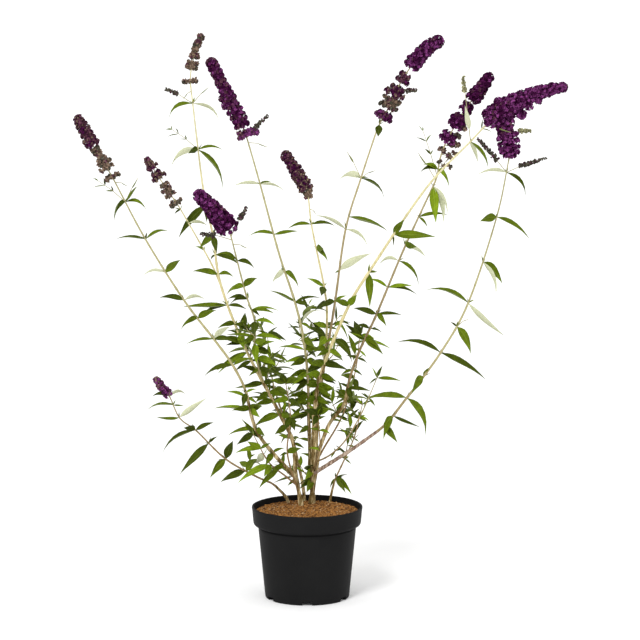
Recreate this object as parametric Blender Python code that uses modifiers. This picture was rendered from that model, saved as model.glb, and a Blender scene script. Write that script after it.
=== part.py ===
# A butterfly bush in flower, growing in a round nursery pot filled with compost.
# Metres, +Z up, +X to the right of the photograph, seen from the -Y side.
# The origin is the middle of the pot's flat underside.

import math
import random

import bmesh
import bpy
from mathutils import Matrix, Vector
from mathutils.bvhtree import BVHTree

mm = 0.001
seed = 41

# Pot, in millimetres.
pot_height = 159.0
rim_radius = 95.0
rim_lip = 3.4
collar_height = 32.0
collar_foot_radius = 92.0
body_top_radius = 84.0
pot_foot_radius = 71.5
pot_wall = 2.2
pot_floor = 9.0
pot_segments = 36
notch_count = 6
notch_width = 17.0
notch_height = 6.5
notch_reach = 9.0

# Compost.
compost_level = 149.0
compost_crown = 5.0
compost_roughness = 1.3
compost_segments = 20
node_gap = 0.35

# Wood.
trunk_sides = 8
bough_sides = 6
stem_sides = 5
twig_sides = 3
limb_step = 30.0
stem_step = 44.0

# Leaves, twigs and flower spikes.
leaf_length = 64.0
leaf_slimness = 0.23
leaf_keel = 0.026
tuft_leaf_share = 0.72
bud_length = 34.0
whorl_spacing = 17.0
bud_radius = 2.0
clearance = 0.5

# The two trunks and the small suckers that rise out of the compost.
# Each has the radius at its foot, waist and top, and the points it passes through.
trunks = {
    "trunk_main": {"radii": (7.4, 6.2, 9.2), "path": [(8, 45, 141), (9, 41, 196), (12, 33, 250)]},
    "trunk_left": {"radii": (5.8, 4.8, 6.6), "path": [(-9, 21, 141), (-13, 20, 174), (-20, 22, 207)]},
    "sucker_left": {"radii": (3.0, 2.6, 2.3), "path": [(-30, 60, 140), (-36, 60, 160), (-56, 55, 183)]},
    "sucker_right": {"radii": (2.6, 2.2, 1.8), "path": [(38, 66, 140), (41, 68, 162), (47, 72, 186)]},
    "sucker_back": {"radii": (3.2, 2.8, 2.4), "path": [(-4, 72, 140), (-8, 84, 178), (-20, 104, 232)]},
}

# The main boughs: the trunk each grows from, its radius at foot and tip, and its points.
boughs = {
    "bough_far_left": {
        "from": "trunk_left", "radii": (3.7, 2.7),
        "path": [(-20, 18, 206), (-54, 6, 244), (-87, 0, 291), (-104, -5, 356)],
    },
    "bough_tall_left": {
        "from": "trunk_left", "radii": (3.7, 2.9),
        "path": [(-20, 25, 206), (-24, 30, 262), (-44, 36, 306), (-76, 45, 366)],
    },
    "bough_centre": {
        "from": "trunk_main", "radii": (3.5, 2.8),
        "path": [(5, 36, 249), (3, 41, 290), (2, 43, 345)],
    },
    "bough_back": {
        "from": "trunk_main", "radii": (3.5, 2.7),
        "path": [(15, 41, 249), (18, 58, 310), (22, 66, 345), (30, 77, 396)],
    },
    "bough_front_right": {
        "from": "trunk_main", "radii": (3.4, 2.7),
        "path": [(20, 31, 249), (38, 23, 297), (62, 19, 330), (70, 13, 366)],
    },
    "bough_far_right": {
        "from": "trunk_main", "radii": (4.3, 3.2),
        "path": [(11, 25, 249), (13, 4, 320), (19, -5, 372), (30, -11, 408)],
    },
    "bough_arching_right": {
        "from": "trunk_main", "radii": (3.6, 2.7),
        "path": [(12, 38, 208), (40, 37, 226), (80, 37, 252), (122, 39, 282)],
    },
}

# Each spray is one stem with its twigs, leaves and flower spikes.
# "from" is the bough or trunk its stem meets and "at" how far along that limb.
# "path" runs on to the foot of the flower spike and "spike" from there to the flower's tip.
# "width" is the flower's width at its foot and tip, "open" how far apart its whorls stand,
# "gap" the distance between leaf pairs and "tufts" how many side twigs it carries.
sprays = {
    "spray_far_left": {
        "from": "bough_far_left", "radius": 2.4,
        "path": [(-126, -9, 404), (-158, -13, 450), (-208, -21, 518), (-272, -33, 624), (-324, -46, 727)],
        "spike": [(-358, -53, 786), (-384, -60, 836)],
        "width": (26, 14), "open": 0.25, "gap": 43, "tufts": 3, "turn": 20,
    },
    "spray_tall_left": {
        "from": "bough_tall_left", "radius": 2.6, "lean": (-2.2, 1.6),
        "path": [(-117, 59, 447), (-150, 75, 536), (-162, 89, 614), (-179, 105, 693), (-201, 142, 868)],
        "spike": [(-196, 156, 914), (-182, 160, 956)],
        "width": (17, 9), "open": 0.55, "gap": 47, "tufts": 3, "turn": 70,
        "branch": {
            "at": 0.42,
            "path": [(-189, 89, 588), (-220, 78, 664)],
            "spike": [(-250, 68, 712), (-275, 60, 752)],
            "width": (25, 13),
        },
    },
    "spray_front_left": {
        "from": "bough_tall_left", "radius": 2.0, "lean": (2.4, -1.8),
        "path": [(-89, 29, 427), (-89, 9, 478), (-104, -18, 530), (-128, -78, 640)],
        "spike": [(-154, -112, 682), (-182, -140, 718)],
        "width": (36, 22), "open": 0.0, "gap": 40, "tufts": 3, "turn": 45,
    },
    "spray_centre": {
        "from": "bough_centre", "radius": 2.5,
        "path": [(-5, 44, 434), (-21, 46, 505), (-48, 49, 588), (-80, 52, 707), (-101, 55, 781)],
        "spike": [(-134, 58, 856), (-166, 60, 922)],
        "width": (28, 14), "open": 0.1, "gap": 44, "tufts": 3, "turn": 0,
    },
    "spray_back": {
        "from": "bough_back", "radius": 2.3, "lean": (-1.8, 2.0),
        "path": [(34, 96, 472), (29, 112, 522), (8, 142, 621), (2, 159, 671)],
        "spike": [(-18, 175, 712), (-42, 190, 748)],
        "width": (28, 15), "open": 0.15, "gap": 44, "tufts": 3, "turn": 30,
    },
    "spray_tall_right": {
        "from": "bough_back", "radius": 2.3, "lean": (2.4, -1.6),
        "path": [(48, 84, 500), (66, 81, 626), (92, 73, 715), (118, 64, 796)],
        "spike": [(146, 55, 874), (173, 48, 924), (229, 40, 961)],
        "width": (27, 15), "open": 0.35, "gap": 46, "tufts": 3, "turn": 60,
    },
    "spray_front_right": {
        "from": "bough_front_right", "radius": 2.4,
        "path": [(91, 1, 432), (117, -10, 490), (163, -36, 607), (215, -67, 727)],
        "spike": [(236, -78, 770), (268, -98, 840), (305, -120, 909)],
        "width": (28, 15), "open": 0.3, "gap": 45, "tufts": 3, "turn": 15,
    },
    "spray_far_right": {
        "from": "bough_far_right", "radius": 2.9,
        "path": [(69, -32, 507), (104, -50, 570), (198, -99, 718), (270, -134, 800), (299, -150, 834)],
        "spike": [(362, -178, 878), (424, -200, 898)],
        "width": (32, 15), "open": 0.05, "gap": 44, "tufts": 3, "turn": 75,
    },
    "spray_arching_right": {
        "from": "bough_arching_right", "radius": 2.4,
        "path": [(171, 41, 339), (229, 46, 417), (276, 50, 503), (324, 59, 650), (345, 65, 752)],
        "spike": [(338, 68, 796), (320, 70, 832)],
        "width": (32, 22), "open": 0.0, "gap": 40, "tufts": 3, "turn": 40,
    },
    "spray_low_left": {
        "from": "sucker_left", "radius": 2.0,
        "path": [(-84, 47, 198), (-140, 30, 234), (-190, 10, 288), (-217, -2, 311), (-233, -15, 350)],
        "spike": [(-247, -24, 370), (-258, -30, 387)],
        "width": (13, 8), "open": 0.0, "gap": 31, "tufts": 3, "turn": 80,
    },
    "spray_low_right": {
        "from": "sucker_right", "radius": 1.6,
        "path": [(60, 80, 214), (82, 92, 262), (96, 104, 318)],
        "gap": 26, "tufts": 2, "turn": 10,
    },
    "spray_low_back": {
        "from": "sucker_back", "radius": 2.1,
        "path": [(-44, 128, 296), (-62, 148, 356), (-70, 164, 430)],
        "gap": 31, "tufts": 3, "turn": 35,
    },
    "spray_inner_left": {
        "from": "trunk_left", "at": 0.72, "radius": 1.7,
        "path": [(-40, 4, 212), (-66, -14, 238), (-92, -30, 290)],
        "gap": 26, "tufts": 3, "turn": 50,
    },
    "spray_inner_right": {
        "from": "trunk_main", "at": 0.78, "radius": 1.8,
        "path": [(38, 12, 244), (66, -12, 276), (95, -28, 330), (120, -40, 392)],
        "gap": 30, "tufts": 3, "turn": 25,
    },
    "spray_inner_front": {
        "from": "trunk_main", "at": 0.62, "radius": 1.8,
        "path": [(14, 6, 232), (22, -34, 270), (18, -66, 330)],
        "gap": 28, "tufts": 3, "turn": 65,
    },
    "spray_inner_back": {
        "from": "trunk_main", "at": 0.7, "radius": 1.8,
        "path": [(28, 62, 246), (62, 100, 300), (84, 132, 372), (92, 150, 436)],
        "gap": 31, "tufts": 3, "turn": 5,
    },
    "spray_inner_centre": {
        "from": "trunk_left", "at": 0.5, "radius": 1.7,
        "path": [(-26, 2, 216), (-34, -24, 262), (-28, -48, 322), (-36, -60, 384)],
        "gap": 29, "tufts": 3, "turn": 30,
    },
}

materials = {
    "pot_plastic": ((0.020, 0.020, 0.022, 1.0), 0.55),
    "compost": ((0.165, 0.080, 0.038, 1.0), 0.95),
    "bark": ((0.250, 0.170, 0.090, 1.0), 0.85),
    "foliage": ((0.085, 0.165, 0.030, 1.0), 0.75),
}


def fresh_collection(name, hidden=False):
    made = bpy.data.collections.new(name)
    bpy.context.scene.collection.children.link(made)
    made.hide_render = hidden
    return made


def fresh_material(name):
    colour, roughness = materials[name]
    made = bpy.data.materials.new(name)
    made.use_nodes = True
    shader = made.node_tree.nodes["Principled BSDF"]
    shader.inputs["Base Color"].default_value = colour
    shader.inputs["Roughness"].default_value = roughness
    made.diffuse_color = colour
    return made


def vectors(points):
    return [Vector(p) for p in points]


# A smooth line through a few points, sampled about every step; lead is the way it sets out.
def smooth_path(points, step, lead=None):
    before = points[0] * 2 - points[1]
    if lead:
        before = points[1] - lead * (points[1] - points[0]).length * 2
    ends = [before] + points + [points[-1] * 2 - points[-2]]
    line = [points[0].copy()]
    for i in range(1, len(ends) - 2):
        a, b, c, d = ends[i - 1:i + 3]
        count = max(2, round((c - b).length / step))
        for k in range(1, count + 1):
            t = k / count
            line.append(0.5 * (
                2 * b + (c - a) * t + (2 * a - 5 * b + 4 * c - d) * t * t
                + (3 * b - a - 3 * c + d) * t ** 3))
    return line


def path_length(line):
    return sum((q - p).length for p, q in zip(line, line[1:]))


# The point at a distance along a line, and the way the line runs there.
def point_on(line, distance):
    left = distance
    for p, q in zip(line, line[1:]):
        span = (q - p).length
        if left <= span:
            return p.lerp(q, max(left, 0.0) / span), (q - p).normalized()
        left -= span
    return line[-1].copy(), (line[-1] - line[-2]).normalized()


def across(direction):
    side = direction.cross(Vector((0, 0, 1)))
    if side.length < 0.05:
        side = direction.cross(Vector((1, 0, 0)))
    return side.normalized()


def tidy_mesh(mesh, weld=0.0):
    work = bmesh.new()
    work.from_mesh(mesh)
    if weld:
        bmesh.ops.remove_doubles(work, verts=work.verts, dist=weld)
    bmesh.ops.recalc_face_normals(work, faces=work.faces)
    work.to_mesh(mesh)
    work.free()


# A round tapering limb: a curve with a profile, its ends capped.
def limb_object(name, line, radii, sides, collection):
    profile_curve = bpy.data.curves.new(name + "_profile", "CURVE")
    ring = profile_curve.splines.new("POLY")
    ring.points.add(sides - 1)
    for i in range(sides):
        turn = 2 * math.pi * i / sides
        ring.points[i].co = (mm * math.cos(turn), mm * math.sin(turn), 0, 1)
    ring.use_cyclic_u = True
    profile = bpy.data.objects.new(name + "_profile", profile_curve)
    bpy.context.scene.collection.objects.link(profile)

    curve = bpy.data.curves.new(name + "_curve", "CURVE")
    curve.dimensions = "3D"
    curve.bevel_mode = "OBJECT"
    curve.bevel_object = profile
    curve.use_fill_caps = True
    spline = curve.splines.new("POLY")
    spline.points.add(len(line) - 1)
    for point, place, radius in zip(spline.points, line, radii):
        point.co = (*(place * mm), 1)
        point.radius = radius
    drawn = bpy.data.objects.new(name + "_curve", curve)
    bpy.context.scene.collection.objects.link(drawn)

    seen = drawn.evaluated_get(bpy.context.evaluated_depsgraph_get())
    mesh = bpy.data.meshes.new_from_object(seen)
    mesh.name = name
    tidy_mesh(mesh, weld=1e-6)
    limb = bpy.data.objects.new(name, mesh)
    limb.matrix_world = drawn.matrix_world.copy()
    collection.objects.link(limb)
    bpy.data.objects.remove(drawn)
    bpy.data.objects.remove(profile)
    return limb


def taper(count, radii):
    made = []
    for i in range(count):
        place = i / (count - 1) * (len(radii) - 1)
        low = min(int(place), len(radii) - 2)
        made.append(radii[low] + (radii[low + 1] - radii[low]) * (place - low))
    return made


def turned_object(name, profile, steps, collection):
    mesh = bpy.data.meshes.new(name)
    points = [(r * mm, 0, z * mm) for r, z in profile]
    mesh.from_pydata(points, [(i, i + 1) for i in range(len(points) - 1)], [])
    turned = bpy.data.objects.new(name, mesh)
    collection.objects.link(turned)
    screw = turned.modifiers.new("turn", "SCREW")
    screw.axis = "Z"
    screw.steps = steps
    screw.render_steps = steps
    screw.use_merge_vertices = True
    screw.merge_threshold = 0.00001
    apply_modifiers(turned)
    tidy_mesh(turned.data, weld=1e-6)
    return turned


def apply_modifiers(target):
    seen = target.evaluated_get(bpy.context.evaluated_depsgraph_get())
    mesh = bpy.data.meshes.new_from_object(seen)
    old = target.data
    target.modifiers.clear()
    target.data = mesh
    mesh.name = target.name
    bpy.data.meshes.remove(old)


def cut(target, cutters, solver="EXACT"):
    modifier = target.modifiers.new("cut", "BOOLEAN")
    modifier.operation = "DIFFERENCE"
    modifier.operand_type = "COLLECTION"
    modifier.collection = cutters
    modifier.solver = solver
    apply_modifiers(target)


def empty_out(collection):
    for item in list(collection.objects):
        bpy.data.objects.remove(item)


def cone_piece(start, end, start_radius, end_radius, sides):
    direction = end - start
    work = bmesh.new()
    bmesh.ops.create_cone(
        work, cap_ends=True, segments=sides,
        radius1=start_radius, radius2=end_radius, depth=direction.length)
    turn = direction.to_track_quat("Z", "Y").to_matrix().to_4x4()
    work.transform(Matrix.Translation((start + end) / 2) @ turn)
    return piece_from(work)


def bead_piece(centre, direction, radius, half_height, spin):
    work = bmesh.new()
    bmesh.ops.create_icosphere(work, subdivisions=1, radius=1.0)
    size = Matrix.Diagonal((radius, radius, half_height, 1))
    turn = direction.to_track_quat("Z", "Y").to_matrix().to_4x4()
    work.transform(Matrix.Translation(centre) @ turn @ size @ Matrix.Rotation(spin, 4, "Z"))
    return piece_from(work)


def piece_from(work):
    bmesh.ops.recalc_face_normals(work, faces=work.faces)
    work.verts.index_update()
    points = [v.co.copy() for v in work.verts]
    faces = [tuple(v.index for v in f.verts) for f in work.faces]
    work.free()
    return points, faces


# A leaf blade: its root inside the stem, its widest section with a keel below, and a pointed tip.
def leaf_piece(root, heading, droop, length, roll, spare=0.0):
    side = across(heading)
    side = (Matrix.Rotation(roll, 3, heading) @ side).normalized()
    up = side.cross(heading).normalized()
    if up.z < 0:
        up = -up
    middle = root + heading * length * 0.46
    tip_way = (heading + Vector((0, 0, -droop))).normalized()
    tip = middle + tip_way * (length * 0.54 + spare)
    half = length * leaf_slimness / 2 + spare
    keel = length * leaf_keel + spare
    left = middle - side * half + up * spare
    right = middle + side * half + up * spare
    points = [root, left, right, middle - up * keel, tip]
    faces = [(0, 2, 1), (0, 3, 2), (0, 1, 3), (4, 1, 2), (4, 2, 3), (4, 3, 1)]
    return points, faces


def tree_of(pieces):
    points = []
    faces = []
    for some_points, some_faces in pieces:
        base = len(points)
        points += some_points
        faces += [tuple(base + i for i in face) for face in some_faces]
    return BVHTree.FromPolygons(points, faces)


def object_piece(item):
    points = [v.co / mm for v in item.data.vertices]
    return points, [tuple(p.vertices) for p in item.data.polygons]


# Inside a closed solid, a ray to far away crosses its surface an odd number of times.
def inside(tree, point):
    way = Vector((0.31, 0.17, 0.935)).normalized()
    crossings = 0
    hit = tree.ray_cast(point, way)[0]
    while hit is not None:
        crossings += 1
        hit = tree.ray_cast(hit + way * 0.001, way)[0]
    return crossings % 2 == 1


def touches(probe, trees):
    mine = tree_of([probe])
    return any(mine.overlap(tree) for tree in trees)


# The start of a limb is drawn back until its end ring stands clear of its carrier.
def seated(line, radius, carrier, start=0.0):
    total = path_length(line)
    distance = start
    while distance < total * 0.6:
        clear = True
        for ahead in (0.0, 1.5, 3.0, 6.0, 10.0, 15.0, 21.0):
            centre, way = point_on(line, distance + ahead)
            side = across(way)
            for k in range(16):
                rim = centre + Matrix.Rotation(k * math.pi / 8, 3, way) @ side * radius
                gap = carrier.find_nearest(rim)[3]
                if gap < node_gap or inside(carrier, rim):
                    clear = False
                    break
            if not clear:
                break
        if clear:
            break
        distance += 0.1
    begun = [point_on(line, distance)[0]]
    walked = 0.0
    for p, q in zip(line, line[1:]):
        walked += (q - p).length
        if walked > distance + 4.0:
            begun.append(q)
    return begun


def build_pot(collection, cutters):
    outer_foot = pot_foot_radius
    collar_foot = pot_height - collar_height
    inside_rim = rim_radius - rim_lip
    inner_collar = collar_foot_radius - pot_wall
    inner_top = body_top_radius - pot_wall
    inner_foot = outer_foot - pot_wall
    profile = [
        (0, pot_floor), (inner_foot, pot_floor), (inner_top, collar_foot - 4),
        (inner_collar - 0.6, collar_foot + 3),
        (inside_rim, pot_height - 1.5), (rim_radius - 2.0, pot_height), (rim_radius - 0.3, pot_height - 0.8),
        (rim_radius, pot_height - 3.0), (collar_foot_radius + 0.3, collar_foot + 2.5),
        (collar_foot_radius - 1.2, collar_foot), (body_top_radius, collar_foot - 1.5),
        (outer_foot + 0.6, 1.0), (outer_foot - 1.0, 0), (0, 0),
    ]
    pot = turned_object("pot", profile, pot_segments, collection)
    notches = fresh_collection("notch_cutters", hidden=True)
    cutters.children.link(notches)
    bpy.context.scene.collection.children.unlink(notches)
    for i in range(notch_count):
        turn = -math.pi / 2 + 2 * math.pi * i / notch_count
        work = bmesh.new()
        bmesh.ops.create_cube(work, size=1.0)
        size = Matrix.Diagonal((notch_reach * 2 * mm, notch_width * mm, notch_height * 2 * mm, 1))
        place = Matrix.Translation((outer_foot * mm, 0, 0))
        work.transform(Matrix.Rotation(turn, 4, "Z") @ place @ size)
        mesh = bpy.data.meshes.new("notch_%d" % i)
        work.to_mesh(mesh)
        work.free()
        notch = bpy.data.objects.new("notch_%d" % i, mesh)
        notch.display_type = "WIRE"
        notches.objects.link(notch)
    cut(pot, notches, solver="MANIFOLD")
    return pot


def build_compost(collection, cutters, chance):
    collar_foot = pot_height - collar_height
    inner_foot = pot_foot_radius - pot_wall - node_gap
    inner_top = body_top_radius - pot_wall - node_gap
    top_radius = collar_foot_radius - pot_wall - 0.6 - node_gap
    profile = [(0, pot_floor + node_gap), (inner_foot, pot_floor + node_gap), (inner_top, collar_foot - 4)]
    profile += [(top_radius - 0.4, collar_foot + 3.5), (top_radius, compost_level)]
    rings = 3
    for i in range(1, rings + 1):
        share = 1 - i / rings
        profile.append((top_radius * share, compost_level + compost_crown * (1 - share * share)))
    compost = turned_object("compost", profile, compost_segments, collection)
    for vertex in compost.data.vertices:
        if vertex.co.z > (compost_level + 0.5) * mm:
            vertex.co.z += chance.uniform(-compost_roughness, compost_roughness) * mm

    sockets = fresh_collection("socket_cutters", hidden=True)
    cutters.children.link(sockets)
    bpy.context.scene.collection.children.unlink(sockets)
    for name, trunk in trunks.items():
        line = smooth_path(vectors(trunk["path"]), limb_step)
        start, way = point_on(line, 0.0)
        radius = trunk["radii"][0] + node_gap + 0.25
        points, faces = cone_piece(start - way * node_gap, start + way * 40, radius, radius, 14)
        mesh = bpy.data.meshes.new(name + "_socket")
        mesh.from_pydata([p * mm for p in points], [], faces)
        socket = bpy.data.objects.new(name + "_socket", mesh)
        socket.display_type = "WIRE"
        sockets.objects.link(socket)
    cut(compost, sockets)
    return compost


# The flower spike: beads of blossom stacked along the stem, wider at the foot.
def spike_pieces(line, width, openness, chance):
    pieces = []
    total = path_length(line)
    count = max(4, round(total / whorl_spacing))
    for i in range(count):
        share = (i + 0.4) / count
        centre, way = point_on(line, total * share)
        radius = (width[0] + (width[1] - width[0]) * share) / 2 * chance.uniform(0.86, 1.12)
        spread = 0.78 - openness * (1 - share) * 0.6
        side = Matrix.Rotation(chance.uniform(0, 6.28), 3, way) @ across(way)
        centre = centre + side * radius * 0.12
        pieces.append(bead_piece(centre, way, radius, total / count * spread, chance.uniform(0, 6.28)))
    return pieces


def stem_of(spec, trees):
    carrier_line, carrier_radius = limb_lines[spec["from"]]
    path = vectors(spec["path"])
    if "at" in spec:
        start, _ = point_on(carrier_line, path_length(carrier_line) * spec["at"])
        line = smooth_path([start] + path, stem_step)
        line = seated(line, spec["radius"] + 0.2, trees[spec["from"]])
    else:
        tip, way = point_on(carrier_line, path_length(carrier_line))
        lean = spec.get("lean", (0, 0))
        start = tip + way * node_gap + Vector((lean[0], lean[1], 0))
        start -= way * (start - tip - way * node_gap).dot(way)
        line = smooth_path([start] + path, stem_step, lead=way)
        line.insert(1, start + way * 4)
    spike = vectors(spec.get("spike", ()))
    if not spike:
        return line, None
    flower = smooth_path([line[-1]] + spike, 20.0, lead=(line[-1] - line[-2]).normalized())
    return line + flower[1:], flower


def add_leaf(pieces, trees, root, heading, droop, length, roll):
    heading = heading.normalized()
    probe = leaf_piece(root, heading, droop, length, roll, spare=clearance)
    if touches(probe, trees):
        return False
    pieces.append(leaf_piece(root, heading, droop, length, roll))
    return True


def add_pair(pieces, trees, root, way, turn, length, lift, chance):
    side = Matrix.Rotation(turn, 3, way) @ across(way)
    for sign in (-1, 1):
        heading = side * sign + way * lift * chance.uniform(0.7, 1.3) + Vector((0, 0, 0.12))
        add_leaf(
            pieces, trees, root, heading, chance.uniform(0.5, 1.25), length * chance.uniform(0.85, 1.14),
            chance.uniform(-0.5, 0.5))


# A side twig with leaf pairs along it; left out whole where it would touch something.
def add_tuft(pieces, trees, root, heading, length, radius, chance):
    heading = heading.normalized()
    end = root + heading * length
    wide = radius + clearance
    probe = cone_piece(root + heading * 2, end + heading, wide, radius * 0.6 + clearance, twig_sides)
    if touches(probe, trees):
        return
    pieces.append(cone_piece(root, end, radius, radius * 0.6, twig_sides))
    turn = chance.uniform(0, math.pi)
    pairs = 2
    for i in range(pairs):
        place = root + heading * length * (0.42 + 0.55 * i / max(pairs - 1, 1))
        size = leaf_length * tuft_leaf_share * (1.0 - 0.12 * i)
        add_pair(pieces, trees, place, heading, turn + i * math.pi / 2, size, 0.75, chance)


def dress_stem(pieces, trees, line, leafy, spec, radius, chance):
    gap = spec["gap"]
    count = int((leafy - 10) / gap)
    tufts_left = spec["tufts"]
    turn = math.radians(spec["turn"])
    for i in range(count + 1):
        distance = leafy - 6 - i * gap * chance.uniform(0.96, 1.04)
        if distance < 8:
            break
        place, way = point_on(line, distance)
        share = distance / leafy
        size = leaf_length * (0.80 + 0.32 * math.sin(math.pi * min(share + 0.12, 1.0)))
        pair_turn = turn + i * math.pi / 2 + chance.uniform(-0.3, 0.3)
        add_pair(pieces, trees, place, way, pair_turn, size, 0.55, chance)
        if i >= 1 and tufts_left > 0:
            sign = 1 if i % 2 else -1
            side = Matrix.Rotation(pair_turn + 0.5, 3, way) @ across(way) * sign
            length = chance.uniform(34, 64)
            add_tuft(pieces, trees, place, side + way * 0.9, length, max(radius * 0.5, 0.9), chance)
            tufts_left -= 1


def add_buds(pieces, trees, line, leafy, chance):
    for i, back in enumerate((6.0, 48.0)):
        place, way = point_on(line, leafy - back)
        side = Matrix.Rotation(chance.uniform(0, 6.28), 3, way) @ across(way)
        heading = (side * 0.55 + way).normalized()
        end = place + heading * bud_length * chance.uniform(0.8, 1.3)
        probe = cone_piece(place, end + heading, bud_radius + clearance, 0.7 + clearance, 4)
        if not touches(probe, trees):
            pieces.append(cone_piece(place, end, bud_radius, 0.7, 4))


def joined(name, stem, pieces, joining, collection):
    for i, (points, faces) in enumerate(pieces):
        mesh = bpy.data.meshes.new("%s_%d" % (name, i))
        mesh.from_pydata([p * mm for p in points], [], faces)
        tidy_mesh(mesh)
        joining.objects.link(bpy.data.objects.new("%s_%d" % (name, i), mesh))
    modifier = stem.modifiers.new("join", "BOOLEAN")
    modifier.operation = "UNION"
    modifier.operand_type = "COLLECTION"
    modifier.collection = joining
    modifier.solver = "MANIFOLD"
    apply_modifiers(stem)
    empty_out(joining)
    keep_largest_shell(stem.data)


# A sealed hollow or a loose scrap that joining leaves is a shell of its own, and is taken out.
def keep_largest_shell(mesh):
    work = bmesh.new()
    work.from_mesh(mesh)
    unseen = set(work.faces)
    shells = []
    while unseen:
        first = unseen.pop()
        shell = [first]
        edge = [first]
        while edge:
            for link in edge.pop().edges:
                for face in link.link_faces:
                    if face in unseen:
                        unseen.remove(face)
                        shell.append(face)
                        edge.append(face)
        shells.append(shell)
    shells.sort(key=len)
    for shell in shells[:-1]:
        bmesh.ops.delete(work, geom=shell, context="FACES")
    work.to_mesh(mesh)
    work.free()


for item in list(bpy.data.objects):
    bpy.data.objects.remove(item)

plant = fresh_collection("butterfly_bush")
cutters = fresh_collection("cutters", hidden=True)
joining = fresh_collection("joining", hidden=True)
chance = random.Random(seed)

pot = build_pot(plant, cutters)
compost = build_compost(plant, cutters, chance)

limb_lines = {}
trees = {"pot": tree_of([object_piece(pot)]), "compost": tree_of([object_piece(compost)])}
wood = []
for name, spec in trunks.items():
    line = smooth_path(vectors(spec["path"]), limb_step * 0.6)
    trunk = limb_object(name, line, taper(len(line), spec["radii"]), trunk_sides, plant)
    limb_lines[name] = (line, spec["radii"])
    trees[name] = tree_of([object_piece(trunk)])
    wood.append(trunk)

for name, spec in boughs.items():
    line = smooth_path(vectors(spec["path"]), limb_step)
    line = seated(line, spec["radii"][0], trees[spec["from"]])
    bough = limb_object(name, line, taper(len(line), spec["radii"]), bough_sides, plant)
    limb_lines[name] = (line, spec["radii"])
    trees[name] = tree_of([object_piece(bough)])
    wood.append(bough)

# First every spray's stem and flower, so that no leaf is grown through another spray's stem.
masses = {}
side_lines = {}
for name, spec in sprays.items():
    line, flower = stem_of(spec, trees)
    stem = limb_object(name, line, taper(len(line), (spec["radius"], 0.8)), stem_sides, plant)
    pieces = []
    if flower:
        pieces += spike_pieces(flower, spec["width"], spec["open"], chance)
    if "branch" in spec:
        branch = spec["branch"]
        start, _ = point_on(line, path_length(line) * branch["at"])
        side_line = smooth_path([start] + vectors(branch["path"]), stem_step)
        side_flower = smooth_path([side_line[-1]] + vectors(branch["spike"]), 20.0)
        for p, q in zip(side_line, side_line[1:]):
            pieces.append(cone_piece(p - (q - p).normalized() * 0.8, q, 1.5, 1.3, stem_sides))
        for p, q in zip(side_flower, side_flower[1:]):
            pieces.append(cone_piece(p - (q - p).normalized() * 0.8, q, 1.3, 1.1, stem_sides))
        pieces += spike_pieces(side_flower, branch["width"], 0.2, chance)
        side_lines[name] = side_line
    leafy = path_length(line) - (path_length(flower) if flower else 0.0)
    masses[name] = (stem, line, leafy, pieces, flower)
    trees[name] = tree_of([object_piece(stem)] + pieces)

foliage = []
leaf_total = 0
for name, spec in sprays.items():
    stem, line, leafy, pieces, flower = masses[name]
    chance = random.Random("%s %d" % (name, seed))
    others = [tree for other, tree in trees.items() if other != name]
    if flower:
        add_buds(pieces, others, line, leafy, chance)
    dress_stem(pieces, others, line, leafy, spec, spec["radius"], chance)
    if "branch" in spec:
        side_line = side_lines[name]
        side_spec = {"gap": 40, "tufts": 1, "turn": 50}
        dress_stem(pieces, others, side_line, path_length(side_line), side_spec, 1.4, chance)
    trees[name] = tree_of([object_piece(stem)] + pieces)
    leaf_total += sum(1 for points, _ in pieces if len(points) == 5)
    joined(name, stem, pieces, joining, plant)
    foliage.append(stem)

bpy.data.collections.remove(joining)

for slot, items in {"pot_plastic": [pot], "compost": [compost], "bark": wood, "foliage": foliage}.items():
    skin = fresh_material(slot)
    for item in items:
        item.data.materials.clear()
        item.data.materials.append(skin)
for item in [pot] + wood:
    item.data.shade_smooth()
    item.data.set_sharp_from_angle(angle=math.radians(40))

triangles = 0
for item in plant.objects:
    triangles += sum(len(p.vertices) - 2 for p in item.data.polygons)
print("leaves", leaf_total, "triangles", triangles, "nodes", len(plant.objects))
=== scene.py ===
import math
import random

import bmesh
import bpy
from mathutils import Matrix, Vector


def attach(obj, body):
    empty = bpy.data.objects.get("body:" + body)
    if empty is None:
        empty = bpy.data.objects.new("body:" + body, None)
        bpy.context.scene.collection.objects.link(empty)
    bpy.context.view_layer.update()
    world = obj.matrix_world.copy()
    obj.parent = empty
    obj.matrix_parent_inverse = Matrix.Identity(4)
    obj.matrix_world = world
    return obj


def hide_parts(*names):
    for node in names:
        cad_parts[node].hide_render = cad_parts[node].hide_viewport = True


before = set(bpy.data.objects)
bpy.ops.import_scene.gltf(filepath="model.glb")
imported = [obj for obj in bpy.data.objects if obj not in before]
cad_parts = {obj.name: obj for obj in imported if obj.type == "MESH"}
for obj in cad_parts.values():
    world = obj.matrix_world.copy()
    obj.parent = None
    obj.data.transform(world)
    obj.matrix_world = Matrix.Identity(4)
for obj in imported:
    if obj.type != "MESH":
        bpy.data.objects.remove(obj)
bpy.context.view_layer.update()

scene = bpy.context.scene
mm = 0.001
plantSeed = 41
upward = Vector((0, 0, 1))
print("frame loaded:", len(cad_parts), "nodes")


def linked(name, data):
    made = bpy.data.objects.new(name, data)
    scene.collection.objects.link(made)
    return made


def addNode(nodes, kind, inputs=(), **settings):
    # A node with its own settings and the values of its inputs.
    node = nodes.new(kind)
    for name, value in settings.items():
        setattr(node, name, value)
    for name, value in dict(inputs).items():
        node.inputs[name].default_value = value
    return node


# View, light and floor.

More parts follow.
